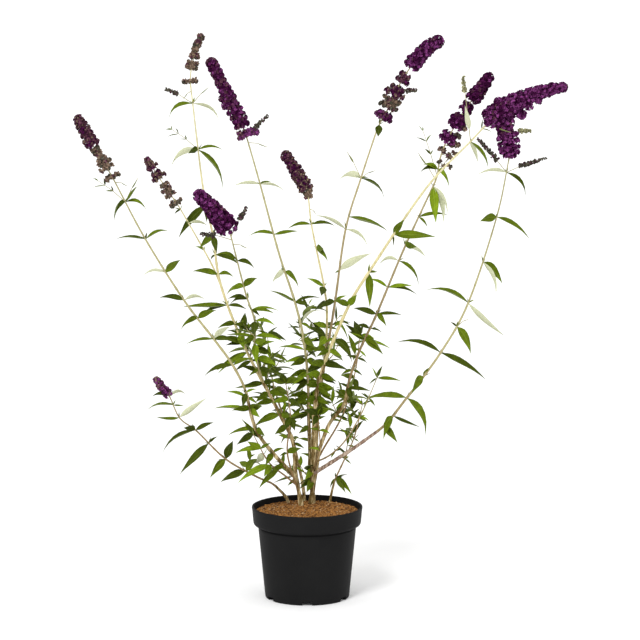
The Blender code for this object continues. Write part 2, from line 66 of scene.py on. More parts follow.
view = {
    "distance": 5.95,  # a long lens from a few steps back
    "lookAt": (0.0220, 0.0, 0.4810),
    "elevation": 9.0,
    "lens": 196.9,
    "sensor": 36.0,
    "nearest": 0.1,
    "farthest": 60.0,
}
studio = {
    "floorRadius": 60.0,
    "floorSides": 96,
    "floorColour": (0.93, 0.93, 0.93),
    "skyColour": (1.0, 1.0, 1.0),
    "skyStrength": 1.0,
    "lampTarget": (0.0, 0.0, 0.5),
}
lamps = {  # broad soft suns: where they shine from, how wide they look and how strong they are
    "keyLamp": {"place": (-1.2, -2.6, 3.3), "width": 16.0, "power": 1.45},
    "fillLamp": {"place": (1.8, -3.0, 1.2), "width": 60.0, "power": 0.45},
}


def aimAt(thing, target):
    thing.rotation_euler = (Vector(target) - thing.location).to_track_quat("-Z", "Y").to_euler()


tilt = math.radians(view["elevation"])
cameraData = bpy.data.cameras.new("camera")
cameraData.lens = view["lens"]
cameraData.sensor_width = view["sensor"]
cameraData.clip_start = view["nearest"]
cameraData.clip_end = view["farthest"]
camera = linked("camera", cameraData)
camera.location = (
    view["lookAt"][0],
    view["lookAt"][1] - view["distance"] * math.cos(tilt),
    view["lookAt"][2] + view["distance"] * math.sin(tilt),
)
aimAt(camera, view["lookAt"])
scene.camera = camera

for lampName, lampSpec in lamps.items():
    lampData = bpy.data.lights.new(lampName, "SUN")
    lampData.angle = math.radians(lampSpec["width"])
    lampData.energy = lampSpec["power"]
    lamp = linked(lampName, lampData)
    lamp.location = lampSpec["place"]
    aimAt(lamp, studio["lampTarget"])

sky = bpy.data.worlds.new("paleRoom")
sky.use_nodes = True
skyLight = sky.node_tree.nodes["Background"]
skyLight.inputs["Color"].default_value = (*studio["skyColour"], 1.0)
skyLight.inputs["Strength"].default_value = studio["skyStrength"]
scene.world = sky
scene.view_settings.view_transform = "Standard"

# Materials: each is a Principled surface with its own colour, grain and relief.


class Finish:
    def __init__(self, name, colour, roughness, specular):
        self.material = bpy.data.materials.new(name)
        self.material.use_nodes = True
        self.material.diffuse_color = (*colour, 1.0)
        self.nodes = self.material.node_tree.nodes
        self.link = self.material.node_tree.links.new
        self.shader = self.nodes["Principled BSDF"]
        self.shader.inputs["Base Color"].default_value = (*colour, 1.0)
        self.shader.inputs["Roughness"].default_value = roughness
        self.shader.inputs["Specular IOR Level"].default_value = specular
        self.coords = self.nodes.new("ShaderNodeTexCoord")

    def mapped(self, stretch=(1.0, 1.0, 1.0), source="Object"):
        mapping = addNode(self.nodes, "ShaderNodeMapping", {"Scale": stretch})
        self.link(self.coords.outputs[source], mapping.inputs["Vector"])
        return mapping.outputs["Vector"]

    def parted(self, source):
        # The coordinates one by one.
        split = self.nodes.new("ShaderNodeSeparateXYZ")
        self.link(self.coords.outputs[source], split.inputs["Vector"])
        return split.outputs

    def noise(self, vector, scale, detail, rough=0.55):
        grain = addNode(
            self.nodes, "ShaderNodeTexNoise", {"Scale": scale, "Detail": detail, "Roughness": rough})
        self.link(vector, grain.inputs["Vector"])
        return grain.outputs["Fac"]

    def ramp(self, value, stops):
        ramp = self.nodes.new("ShaderNodeValToRGB")
        while len(ramp.color_ramp.elements) < len(stops):
            ramp.color_ramp.elements.new(0.5)
        for element, (place, colour) in zip(ramp.color_ramp.elements, stops):
            element.position = place
            element.color = (*colour, 1.0)
        self.link(value, ramp.inputs["Fac"])
        return ramp.outputs["Color"]

    def mix(self, share, first, second, blend="MIX"):
        # In a colour mix the share is socket 0 and the two colours are sockets 6 and 7.
        mixer = addNode(self.nodes, "ShaderNodeMix", data_type="RGBA", blend_type=blend)
        for place, value in ((0, share), (6, first), (7, second)):
            if isinstance(value, bpy.types.NodeSocket):
                self.link(value, mixer.inputs[place])
            else:
                mixer.inputs[place].default_value = (*value, 1.0) if place else value
        return mixer.outputs[2]

    def colour(self, socket):
        self.link(socket, self.shader.inputs["Base Color"])

    def rough(self, value, low, high):
        span = addNode(self.nodes, "ShaderNodeMapRange", {"To Min": low, "To Max": high})
        self.link(value, span.inputs["Value"])
        self.link(span.outputs["Result"], self.shader.inputs["Roughness"])

    def relief(self, height, strength, distance):
        bump = addNode(self.nodes, "ShaderNodeBump", {"Strength": strength, "Distance": distance})
        self.link(height, bump.inputs["Height"])
        self.link(bump.outputs["Normal"], self.shader.inputs["Normal"])


greens = {  # upper sides of leaves, dealt out by spray
    "leafDeep": (0.052, 0.074, 0.004),
    "leafMid": (0.104, 0.148, 0.006),
    "leafBright": (0.175, 0.255, 0.010),
    "leafYoung": (0.215, 0.265, 0.035),
    "leafTurned": (0.104, 0.148, 0.006),
}
leafFelt = {  # their felted undersides
    "underDeep": (0.105, 0.142, 0.028),
    "underMid": (0.165, 0.208, 0.048),
    "underPale": (0.540, 0.560, 0.375),
}
blossom = {  # florets from fresh to spent, and shut buds
    "petalDeep": (0.044, 0.004, 0.034),
    "petalBright": (0.135, 0.028, 0.118),
    "petalDusk": (0.072, 0.027, 0.042),
    "petalSpent": (0.142, 0.098, 0.070),
    "budDark": (0.055, 0.050, 0.036),
    "budPale": (0.210, 0.205, 0.110),
}
barkTones = {  # dark furrows, mid bark and pale ridges: the bark's own streaks, with painted shade in the furrows and painted highlight on the ridges
    "bark": ((0.075, 0.044, 0.005), (0.195, 0.126, 0.034), (0.800, 0.650, 0.370)),
    "barkRed": ((0.130, 0.074, 0.050), (0.270, 0.175, 0.125), (0.700, 0.580, 0.460)),
}
canes = {  # stem tones low down, half way and high up
    "caneStraw": ((0.420, 0.310, 0.140), (0.680, 0.590, 0.300), (0.680, 0.640, 0.380)),
    "caneOlive": ((0.330, 0.230, 0.110), (0.450, 0.410, 0.210), (0.430, 0.410, 0.220)),
    "caneBrown": ((0.300, 0.190, 0.085), (0.300, 0.215, 0.110), (0.500, 0.450, 0.245)),
}
barkChips = {  # dark, middle and light of the compost and its chips
    "compostBed": ((0.070, 0.026, 0.005), (0.290, 0.125, 0.026), (0.470, 0.230, 0.070)),
    "chipDark": ((0.050, 0.018, 0.006), (0.130, 0.054, 0.016), (0.220, 0.100, 0.036)),
    "chipRed": ((0.200, 0.076, 0.014), (0.400, 0.180, 0.048), (0.560, 0.290, 0.095)),
    "chipPale": ((0.340, 0.190, 0.080), (0.560, 0.370, 0.190), (0.720, 0.560, 0.360)),
}
potPlastic = {  # nearly black, with faint clouds
    "potPlastic": ((0.008, 0.008, 0.0082), (0.009, 0.009, 0.0092), (0.0105, 0.0105, 0.0107)),
}
black, white = (0.0, 0.0, 0.0), (1.0, 1.0, 1.0)
furrowShade = (0.60, 0.57, 0.52)


def shaded(tone, factor, added=0.0):
    return tuple(min(c * factor + added, 1.0) for c in tone)


def leafFinish(name, tone):
    finish = Finish(name, tone, roughness=0.62, specular=0.05)
    mottle = finish.noise(finish.mapped(), scale=90.0, detail=3.0)
    blade = finish.ramp(mottle, [(0.30, shaded(tone, 0.72)), (0.55, tone), (0.75, shaded(tone, 1.35))])
    veins = addNode(
        finish.nodes, "ShaderNodeTexWave", {"Scale": 4.2, "Distortion": 0.8},
        wave_type="BANDS", bands_direction="X")
    finish.link(finish.mapped((1.0, 0.35, 1.0), "UV"), veins.inputs["Vector"])
    across = finish.parted("UV")["Y"]
    rib = finish.ramp(across, [(0.46, black), (0.495, white), (0.505, white), (0.54, black)])
    finish.colour(finish.mix(rib, blade, shaded(tone, 1.5, 0.02)))
    finish.rough(mottle, 0.52, 0.72)
    finish.relief(veins.outputs["Fac"], strength=0.25, distance=0.0006)
    return finish.material


def feltFinish(name, tone):
    finish = Finish(name, tone, roughness=0.92, specular=0.15)
    fuzz = finish.noise(finish.mapped(), scale=900.0, detail=2.0)
    finish.colour(finish.ramp(fuzz, [(0.35, shaded(tone, 0.8)), (0.65, shaded(tone, 1.2))]))
    finish.rough(fuzz, 0.86, 0.98)
    finish.relief(fuzz, strength=0.3, distance=0.0003)
    finish.shader.inputs["Sheen Weight"].default_value = 0.1
    return finish.material


def petalFinish(name, tone):
    finish = Finish(name, tone, roughness=0.8, specular=0.02)
    # The same noise that raises the relief darkens the petals to half their tone as painted shade, and
    # lightens them past twice their tone as painted highlight.
    shade = finish.noise(finish.mapped(), scale=260.0, detail=3.0)
    light = shaded(tone, 2.3, 0.004)
    finish.colour(finish.ramp(shade, [(0.32, shaded(tone, 0.5)), (0.5, tone), (0.70, light)]))
    finish.rough(shade, 0.70, 0.90)
    finish.relief(shade, strength=0.4, distance=0.0006)
    return finish.material


def barkFinish(name, tones):
    dark, mid, light = tones
    finish = Finish(name, mid, roughness=0.82, specular=0.25)
    strips = finish.noise(finish.mapped((1.0, 1.0, 0.16)), scale=300.0, detail=6.0, rough=0.65)
    patches = finish.noise(finish.mapped((1.0, 1.0, 0.4)), scale=70.0, detail=3.0)
    # The streaks follow the relief: dark where it sinks, as painted shade, and pale where it rises, as
    # painted highlight.
    streaked = finish.ramp(strips, [(0.38, dark), (0.50, mid), (0.62, light)])
    clouded = finish.ramp(patches, [(0.40, dark), (0.52, mid), (0.62, light)])
    finish.colour(finish.mix(0.35, streaked, clouded))
    finish.rough(strips, 0.7, 0.95)
    finish.relief(strips, strength=0.6, distance=0.0008)
    return finish.material


def caneFinish(name, tones):
    low, middle, high = tones
    finish = Finish(name, middle, roughness=0.75, specular=0.15)
    strips = finish.noise(finish.mapped((1.0, 1.0, 0.12)), scale=500.0, detail=5.0, rough=0.6)
    height = finish.ramp(finish.parted("Object")["Z"], [(0.26, low), (0.44, middle), (0.80, high)])
    shade = finish.ramp(strips, [(0.30, furrowShade), (0.62, white)])
    finish.colour(finish.mix(0.85, height, shade, "MULTIPLY"))
    finish.rough(strips, 0.65, 0.85)
    finish.relief(strips, strength=0.25, distance=0.0004)
    return finish.material


def potFinish(name, tones):
    dark, mid, light = tones
    finish = Finish(name, mid, roughness=0.6, specular=0.05)
    place = finish.mapped()
    grain = finish.noise(place, scale=1400.0, detail=2.0)
    cloud = finish.noise(place, scale=14.0, detail=4.0)
    finish.colour(finish.ramp(cloud, [(0.30, dark), (0.70, light)]))
    finish.rough(cloud, 0.48, 0.66)
    finish.relief(grain, strength=0.18, distance=0.0002)
    return finish.material


def compostFinish(name, tones):
    dark, mid, light = tones
    finish = Finish(name, mid, roughness=0.95, specular=0.2)
    crumbs = finish.noise(finish.mapped(), scale=330.0, detail=6.0, rough=0.7)
    finish.colour(finish.ramp(crumbs, [(0.30, dark), (0.50, mid), (0.70, light)]))
    finish.rough(crumbs, 0.90, 1.0)
    finish.relief(crumbs, strength=0.9, distance=0.002)
    return finish.material


finishes = {}
for family, makeFinish in (
        (greens, leafFinish), (leafFelt, feltFinish), (blossom, petalFinish), (barkTones, barkFinish),
        (canes, caneFinish), (potPlastic, potFinish), (barkChips, compostFinish)):
    for finishName, tone in family.items():
        finishes[finishName] = makeFinish(finishName, tone)
print("finishes ready:", len(finishes))

floorMesh = bpy.data.meshes.new("floor")
work = bmesh.new()
bmesh.ops.create_circle(work, cap_ends=True, segments=studio["floorSides"], radius=studio["floorRadius"])
work.to_mesh(floorMesh)
work.free()
floor = linked("floor", floorMesh)
floorPaint = Finish("floorPaint", studio["floorColour"], roughness=0.9, specular=0.1)
floorMesh.materials.append(floorPaint.material)

# Lines and limbs. Sizes are in millimetres until a mesh is made.


def vectors(points):
    return [Vector(p) for p in points]


def smoothPath(points, step, lead=None):
    # A curve through the points; lead is the way that it sets out.
    before = points[0] * 2 - points[1]
    if lead:
        before = points[1] - lead * (points[1] - points[0]).length * 2
    ends = [before] + points + [points[-1] * 2 - points[-2]]
    line = [points[0].copy()]
    for i in range(1, len(ends) - 2):
        a, b, c, d = ends[i - 1:i + 3]
        count = max(2, round((c - b).length / step))
        for k in range(1, count + 1):
            t = k / count
            line.append(0.5 * (
                2 * b + (c - a) * t + (2 * a - 5 * b + 4 * c - d) * t * t
                + (3 * b - a - 3 * c + d) * t ** 3))
    return line


def pathLength(line):
    return sum((q - p).length for p, q in zip(line, line[1:]))


def pointOn(line, distance):
    # The place at a distance along the line, and the way the line runs there.
    left = distance
    for p, q in zip(line, line[1:]):
        span = (q - p).length
        if left <= span:
            return p.lerp(q, max(left, 0.0) / span), (q - p).normalized()
        left -= span
    return line[-1].copy(), (line[-1] - line[-2]).normalized()


def walked(line, step):
    # Even steps along a line: the place, the distance to it and its share of the length.
    total = pathLength(line)
    count = max(4, int(total / step))
    distances = [total * i / count for i in range(count + 1)]
    return [(pointOn(line, d)[0], d, i / count) for i, d in enumerate(distances)]


def sideOf(direction):
    side = direction.cross(upward)
    if side.length < 0.05:
        side = direction.cross(Vector((1, 0, 0)))
    return side.normalized()


def armOf(direction, turn):
    # What stands out sideways from a direction, turned about it.
    return Matrix.Rotation(turn, 3, direction) @ sideOf(direction)


def stray(chance, *spreads):
    return Vector([chance.gauss(0, spread) for spread in spreads])


trunks = {
    "trunk_main": {"radii": (7.4, 6.2, 9.2), "path": [(8, 45, 141), (9, 41, 196), (12, 33, 250)]},
    "trunk_left": {"radii": (5.8, 4.8, 6.6), "path": [(-9, 21, 141), (-13, 20, 174), (-20, 22, 207)]},
    "sucker_left": {"radii": (3.0, 2.6, 2.3), "path": [(-30, 60, 140), (-36, 60, 160), (-56, 55, 183)]},
    "sucker_right": {"radii": (2.6, 2.2, 1.8), "path": [(38, 66, 140), (41, 68, 162), (47, 72, 186)]},
    "sucker_back": {"radii": (3.2, 2.8, 2.4), "path": [(-4, 72, 140), (-8, 84, 178), (-20, 104, 232)]},
}
boughs = {  # each with the trunk that it leaves and its radii in millimetres
    "bough_far_left": {
        "from": "trunk_left", "radii": (3.7, 2.7),
        "path": [(-20, 18, 206), (-54, 6, 244), (-87, 0, 291), (-104, -5, 356)],
    },
    "bough_tall_left": {
        "from": "trunk_left", "radii": (3.7, 2.9),
        "path": [(-20, 25, 206), (-24, 30, 262), (-44, 36, 306), (-76, 45, 366)],
    },
    "bough_centre": {
        "from": "trunk_main", "radii": (3.5, 2.8),
        "path": [(5, 36, 249), (3, 41, 290), (2, 43, 345)],
    },
    "bough_back": {
        "from": "trunk_main", "radii": (3.5, 2.7),
        "path": [(15, 41, 249), (18, 58, 310), (22, 66, 345), (30, 77, 396)],
    },
    "bough_front_right": {
        "from": "trunk_main", "radii": (3.4, 2.7),
        "path": [(20, 31, 249), (38, 23, 297), (62, 19, 330), (70, 13, 366)],
    },
    "bough_far_right": {
        "from": "trunk_main", "radii": (4.3, 3.2),
        "path": [(11, 25, 249), (13, 4, 320), (19, -5, 372), (30, -11, 408)],
    },
    "bough_arching_right": {
        "from": "trunk_main", "radii": (3.6, 2.7),
        "path": [(12, 38, 208), (40, 37, 226), (80, 37, 252), (122, 39, 282)],
    },
}
limbs = {**trunks, **boughs}
pathSteps = {"limb": 6.0, "cane": 12.0, "spike": 8.0}
limbLines = {name: smoothPath(vectors(spec["path"]), pathSteps["limb"]) for name, spec in limbs.items()}


def limbRadius(radii, share):
    place = share * (len(radii) - 1)
    low = min(int(place), len(radii) - 2)
    return radii[low] + (radii[low + 1] - radii[low]) * (place - low)


# Geometry Nodes: what repeats or follows a line is grown by a tree from a bare mesh.


def geometryTree(name, sockets, read, parts, routes):
    # Each part is a kind of node, the values of its inputs, if any, and its operation, if it has one.
    # What the source mesh says at its points is read by name. A route goes from "part.socket" to
    # "part.socket", where a number is a socket's place.
    tree = bpy.data.node_groups.new(name, "GeometryNodeTree")
    for label, kind in {"Geometry": "Geometry", **sockets}.items():
        tree.interface.new_socket(label, in_out="INPUT", socket_type="NodeSocket" + kind)
    tree.interface.new_socket("Geometry", in_out="OUTPUT", socket_type="NodeSocketGeometry")
    nodes = {"start": tree.nodes.new("NodeGroupInput"), "end": tree.nodes.new("NodeGroupOutput")}
    for label, (kind, inputs, *operation) in parts.items():
        nodes[label] = addNode(tree.nodes, kind, inputs, **{"operation": name for name in operation})
    for label, kind in read.items():
        nodes[label] = addNode(
            tree.nodes, "GeometryNodeInputNamedAttribute", {"Name": label}, data_type=kind)
    for route in routes:
        (source, outlet), (target, inlet) = (place.split(".") for place in route.split(" > "))
        inlet = int(inlet) if inlet.isdigit() else inlet
        tree.links.new(nodes[source].outputs[outlet], nodes[target].inputs[inlet])
    return tree


# A round tube along each line, as thick as its points say, with its skin roughened into relief.
limbTube = geometryTree(
    "limbTube",
    {"Sides": "Int", "Relief": "Float", "Grain": "Float", "Stretch": "Vector", "Surface": "Material"},
    {"thick": "FLOAT"},
    {
        "curve": ("GeometryNodeMeshToCurve", {}),
        "ring": ("GeometryNodeCurvePrimitiveCircle", {"Radius": 1.0}),
        "sweep": ("GeometryNodeCurveToMesh", {"Fill Caps": True}),
        "place": ("GeometryNodeInputPosition", {}),
        "normal": ("GeometryNodeInputNormal", {}),
        "stretched": ("ShaderNodeVectorMath", {}, "MULTIPLY"),
        "grain": ("ShaderNodeTexNoise", {"Detail": 3.0}),
        "centred": ("ShaderNodeMath", {1: 0.5}, "SUBTRACT"),
        "depth": ("ShaderNodeMath", {}, "MULTIPLY"),
        "push": ("ShaderNodeVectorMath", {}, "SCALE"),
        "moved": ("GeometryNodeSetPosition", {}),
        "smooth": ("GeometryNodeSetShadeSmooth", {}),
        "whole": ("GeometryNodeRealizeInstances", {}),
        "coat": ("GeometryNodeSetMaterial", {}),
    },
    [
        "start.Geometry > curve.Mesh", "curve.Curve > sweep.Curve", "start.Sides > ring.Resolution",
        "ring.Curve > sweep.Profile Curve", "thick.Attribute > sweep.Scale",
        "place.Position > stretched.0", "start.Stretch > stretched.1", "stretched.Vector > grain.Vector",
        "start.Grain > grain.Scale", "grain.Fac > centred.0", "centred.Value > depth.0",
        "start.Relief > depth.1", "normal.Normal > push.0", "depth.Value > push.Scale",
        "sweep.Mesh > moved.Geometry", "push.Vector > moved.Offset", "moved.Geometry > smooth.Geometry",
        "smooth.Geometry > whole.Geometry", "whole.Geometry > coat.Geometry",
        "start.Surface > coat.Material", "coat.Geometry > end.Geometry",
    ])
# Shapes dealt out on points: each point brings its turn, its size and its bow, and the shape
# itself tells how far along it a point lies and which faces are under.
dealShapes = geometryTree(
    "dealShapes",
    {"Shape": "Object", "Bow": "Float", "Face": "Material", "Back": "Material"},
    {
        "turn": "FLOAT_VECTOR", "size": "FLOAT_VECTOR", "bow": "FLOAT_VECTOR",
        "along": "FLOAT", "under": "BOOLEAN",
    },
    {
        "shape": ("GeometryNodeObjectInfo", {"As Instance": True}),
        "turned": ("FunctionNodeEulerToRotation", {}),
        "deal": ("GeometryNodeInstanceOnPoints", {}),
        "whole": ("GeometryNodeRealizeInstances", {}),
        "squared": ("ShaderNodeMath", {1: 2.0}, "POWER"),
        "share": ("ShaderNodeMath", {}, "MULTIPLY"),
        "bend": ("ShaderNodeVectorMath", {}, "SCALE"),
        "moved": ("GeometryNodeSetPosition", {}),
        "faceCoat": ("GeometryNodeSetMaterial", {}),
        "backCoat": ("GeometryNodeSetMaterial", {}),
    },
    [
        "start.Shape > shape.Object", "start.Geometry > deal.Points", "shape.Geometry > deal.Instance",
        "turn.Attribute > turned.Euler", "turned.Rotation > deal.Rotation", "size.Attribute > deal.Scale",
        "deal.Instances > whole.Geometry", "along.Attribute > squared.0", "squared.Value > share.0",
        "start.Bow > share.1", "bow.Attribute > bend.0", "share.Value > bend.Scale",
        "whole.Geometry > moved.Geometry", "bend.Vector > moved.Offset",
        "moved.Geometry > faceCoat.Geometry", "start.Face > faceCoat.Material",
        "faceCoat.Geometry > backCoat.Geometry", "under.Attribute > backCoat.Selection",
        "start.Back > backCoat.Material", "backCoat.Geometry > end.Geometry",
    ])


def settled(source, name):
    # The source with its modifiers worked out, as a plain mesh that takes its place.
    mesh = bpy.data.meshes.new_from_object(source.evaluated_get(bpy.context.evaluated_depsgraph_get()))
    mesh.name = name
    bpy.data.objects.remove(source)
    return linked(name, mesh)


def grown(name, source, tree, settings):
    modifier = source.modifiers.new("grow", "NODES")
    modifier.node_group = tree
    for item in tree.interface.items_tree:
        if item.in_out == "INPUT" and item.name in settings:
            modifier[item.identifier] = settings[item.name]
    return settled(source, name)


def tubes(name, lines, sides, relief, grain, surface):
    # Each line is a list of (place, radius) in millimetres.
    points, edges, thick = [], [], []
    for line in lines:
        base = len(points)
        points += [place * mm for place, _ in line]
        thick += [radius * mm for _, radius in line]
        edges += [(base + i, base + i + 1) for i in range(len(line) - 1)]
    mesh = bpy.data.meshes.new(name + "_lines")
    mesh.from_pydata(points, edges, [])
    mesh.attributes.new("thick", "FLOAT", "POINT").data.foreach_set("value", thick)
    return grown(name, linked(name + "_lines", mesh), limbTube, {
        "Sides": sides, "Relief": relief * mm, "Grain": grain, "Stretch": (1.0, 1.0, 0.14),
        "Surface": surface})


class Deal:
    # A hand of shapes to deal out: where each lies, how it turns, its size and its bow.
    def __init__(self):
        self.places, self.turns, self.sizes, self.bows = [], [], [], []

    def add(self, place, heading, up, size, bow=Vector((0, 0, 0))):
        ahead = heading.normalized()
        side = up.cross(ahead).normalized()
        top = ahead.cross(side).normalized()
        turn = Matrix((ahead, side, top)).transposed().to_euler("XYZ")
        self.places.append(place * mm)
        self.turns += list(turn)
        self.sizes += [s * mm for s in size]
        self.bows += [b * mm for b in bow]

    def spread(self, name, shape, front, back=None):
        mesh = bpy.data.meshes.new(name + "_points")
        mesh.from_pydata(self.places, [], [])
        for label, values in (("turn", self.turns), ("size", self.sizes), ("bow", self.bows)):
            mesh.attributes.new(label, "FLOAT_VECTOR", "POINT").data.foreach_set("vector", values)
        return grown(name, linked(name + "_points", mesh), dealShapes, {
            "Shape": shape, "Bow": 1.0, "Face": front, "Back": back or front})


def joinRings(work, rings):
    # Faces from ring to ring; a ring of one point is a pole.
    for low, high in zip(rings, rings[1:]):
        count = max(len(low), len(high))
        for k in range(count):
            n = (k + 1) % count
            if len(low) == 1:
                work.faces.new((low[0], high[n], high[k]))
            elif len(high) == 1:
                work.faces.new((low[k], low[n], high[0]))
            else:
                work.faces.new((low[k], low[n], high[n], high[k]))


def kept(work, name):
    # The finished work as an object, with every face turned outward.
    bmesh.ops.recalc_face_normals(work, faces=work.faces)
    mesh = bpy.data.meshes.new(name)
    work.to_mesh(mesh)
    work.free()
    return linked(name, mesh)


# The pot: a turned wall with a rolled rim, a collar and notches cut in its foot.

potSpec = {
    "height": 159.0, "rimRadius": 95.0, "lip": 3.4, "collarHeight": 32.0, "collarFoot": 92.0,
    "bodyTop": 84.0, "foot": 71.5, "wall": 2.6, "groove": 1.5, "floor": 9.0, "segments": 160,
    "notches": 6, "notchWidth": 17.0, "notchHeight": 6.5, "notchReach": 30.0, "sharpFrom": 38,
}
potSeam = potSpec["height"] - potSpec["collarHeight"]
collarBore = potSpec["collarFoot"] - potSpec["wall"] - 0.6


def turnedPiece(name, profile, segments):
    # A profile of (radius, height) turned about the pot's axis, closed where it meets the axis.
    work = bmesh.new()
    rings = []
    for radius, height in profile:
        reach = radius * mm
        turns = [2 * math.pi * k / segments for k in range(segments if radius else 1)]
        spots = [(reach * math.cos(t), reach * math.sin(t), height * mm) for t in turns]
        rings.append([work.verts.new(spot) for spot in spots])
    joinRings(work, rings)
    return kept(work, name)


def roundCorner(before, corner, after, radius, steps=5):
    # A small arc between two straight runs of a profile.
    a, b, c = Vector(before), Vector(corner), Vector(after)
    start = b + (a - b).normalized() * radius
    finish = b + (c - b).normalized() * radius
    shares = [k / steps for k in range(steps + 1)]
    return [tuple(start.lerp(b, t).lerp(b.lerp(finish, t), t)) for t in shares]


def roundedProfile(points):
    # Points are (radius, height, rounding).
    flat = [(r, z) for r, z, _ in points]
    made = [flat[0]]
    for i in range(1, len(points) - 1):
        rounding = points[i][2]
        made += roundCorner(*flat[i - 1:i + 2], rounding) if rounding else [flat[i]]
    return made + [flat[-1]]


def makePot():
    s = potSpec
    top, rim, body, foot = s["height"], s["rimRadius"], s["bodyTop"], s["foot"]
    groove = body - s["groove"]
    pot = turnedPiece("potWall", roundedProfile([
        (0, s["floor"], 0), (foot - s["wall"], s["floor"], 1.2), (body - s["wall"], potSeam - 4, 2.0),
        (collarBore, potSeam + 3, 2.0), (rim - s["lip"], top - 1.5, 0.7), (rim - 2.0, top, 0.8),
        (rim - 0.3, top - 0.8, 0.4), (rim, top - 3.0, 1.0), (rim - 0.7, top - 6.5, 1.0),
        (s["collarFoot"] + 0.3, potSeam + 3.2, 1.6), (s["collarFoot"] - 1.6, potSeam, 1.2),
        (groove, potSeam - 0.4, 0.8), (groove, potSeam - 3.4, 0.8), (body, potSeam - 5.0, 0.8),
        (foot + 0.7, 1.6, 0.7), (foot - 1.0, 0, 0.5), (0, 0, 0),
    ]), s["segments"])
    work = bmesh.new()
    size = Matrix.Diagonal((s["notchReach"] * 2 * mm, s["notchWidth"] * mm, s["notchHeight"] * 2 * mm, 1))
    for i in range(s["notches"]):
        turn = -math.pi / 2 + 2 * math.pi * i / s["notches"]
        block = bmesh.ops.create_cube(work, size=1.0)
        place = Matrix.Rotation(turn, 4, "Z") @ Matrix.Translation((foot * mm, 0, 0)) @ size
        bmesh.ops.transform(work, matrix=place, verts=block["verts"])
    blocks = kept(work, "notchBlocks")
    cut = pot.modifiers.new("notches", "BOOLEAN")
    cut.operation = "DIFFERENCE"
    cut.object = blocks
    cut.solver = "MANIFOLD"
    pot = settled(pot, "potWall")
    bpy.data.objects.remove(blocks)
    pot.data.shade_smooth()
    pot.data.set_sharp_from_angle(angle=math.radians(s["sharpFrom"]))
    pot.data.materials.clear()
    pot.data.materials.append(finishes["potPlastic"])
    return pot


pot = makePot()
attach(pot, "root")
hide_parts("pot")
print("pot made")

# Compost: a crumbly bed with chips of bark strewn over it.

compostSpec = {
    "level": 149.0, "crown": 5.0, "crumb": 1.5, "gap": 0.35, "rings": 34, "segments": 120,
    "chips": {"chipDark": (900, 11, 1.0), "chipRed": (1500, 12, 1.0), "chipPale": (260, 13, 0.8)},
    "chipLength": (1.4, 4.6), "chipMargin": 3.0, "bedSeed": 5, "shapeSeed": 3,
}
compostEdge = collarBore - compostSpec["gap"]


def crownHeight(share):
    # How high the compost lies at a share of its radius.
    return compostSpec["level"] + compostSpec["crown"] * (1 - share * share)


def makeCompost():
    s, gap, level = potSpec, compostSpec["gap"], compostSpec["level"]
    profile = [
        (0, s["floor"] + gap), (s["foot"] - s["wall"] - gap, s["floor"] + gap),
        (s["bodyTop"] - s["wall"] - gap, potSeam - 4), (compostEdge - 0.4, potSeam + 3.5),
        (compostEdge, level)]
    for i in range(1, compostSpec["rings"] + 1):
        share = 1 - i / compostSpec["rings"]
        profile.append((compostEdge * share, crownHeight(share)))
    bed = turnedPiece("compostBed", profile, compostSpec["segments"])
    chance = random.Random(compostSpec["bedSeed"])
    for vertex in bed.data.vertices:
        if vertex.co.z > (level + 0.2) * mm:
            vertex.co.z += chance.uniform(-0.6, 0.5) * compostSpec["crumb"] * mm
    bed.data.shade_smooth()
    bed.data.materials.append(finishes["compostBed"])
    return bed


compostBed = makeCompost()
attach(compostBed, "root")
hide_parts("compost")


def chipShape():
    # A splinter: a block that thins towards its ends, with uneven corners.
    work = bmesh.new()
    bmesh.ops.create_cube(work, size=1.0)
    bmesh.ops.subdivide_edges(work, edges=work.edges[:], cuts=1)
    chance = random.Random(compostSpec["shapeSeed"])
    for vertex in work.verts:
        shrink = 1.0 - 0.35 * (abs(vertex.co.x) * 2) ** 2
        vertex.co.y *= shrink * chance.uniform(0.7, 1.1)
        vertex.co.z *= shrink * chance.uniform(0.6, 1.1)
    return kept(work, "chipShape")


def strewn(count, chance, scale):
    # Chips that lie flat or a little tilted on the crown.
    deal = Deal()
    for i in range(count):
        radius = (compostEdge - compostSpec["chipMargin"]) * math.sqrt(chance.random())
        turn = chance.uniform(0, 2 * math.pi)
        height = crownHeight(radius / compostEdge) + chance.uniform(-0.3, 1.2)
        place = Vector((radius * math.cos(turn), radius * math.sin(turn), height))
        heading = stray(chance, 1, 1, 0.3)
        up = stray(chance, 0.3, 0.3).to_3d() + upward
        length = chance.uniform(*compostSpec["chipLength"]) * scale
        size = (length, length * chance.uniform(0.4, 0.7), length * chance.uniform(0.25, 0.45))
        deal.add(place, heading, up, size)
    return deal


chip = chipShape()
for finishName, (count, chipSeed, scale) in compostSpec["chips"].items():
    deal = strewn(count, random.Random(chipSeed), scale)
    chips = deal.spread("compost_" + finishName, chip, finishes[finishName])
    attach(chips, "root")
bpy.data.objects.remove(chip)
print("compost made")

# Bark over the trunks and boughs.

barkSpec = {
    "sides": 20, "relief": 1.1, "grain": 300.0, "step": 2.5, "knuckle": 0.16, "knuckleGap": 34.0,
    "strand": 0.43, "footSpread": 0.40, "sway": 0.9, "trunkEnd": 0.97, "trunkTaper": 16,
    "boughEnd": 0.995, "boughTaper": 0.9,
}


def barkLine(name):
    # A limb's line with its radius; boughs swell at their nodes, and ends draw in a little.
    made = []
    for place, distance, share in walked(limbLines[name], barkSpec["step"]):
        radius = limbRadius(limbs[name]["radii"], share)
        beat = math.cos(2 * math.pi * distance / barkSpec["knuckleGap"])
        if name in boughs:
            radius *= 1 + barkSpec["knuckle"] * max(beat, 0.0) ** 8
        if name in trunks and share > barkSpec["trunkEnd"]:
            radius *= 1.0 - (share - barkSpec["trunkEnd"]) * barkSpec["trunkTaper"]
        if name in boughs and share > barkSpec["boughEnd"]:
            radius *= barkSpec["boughTaper"]
        made.append((place, radius))
    return made


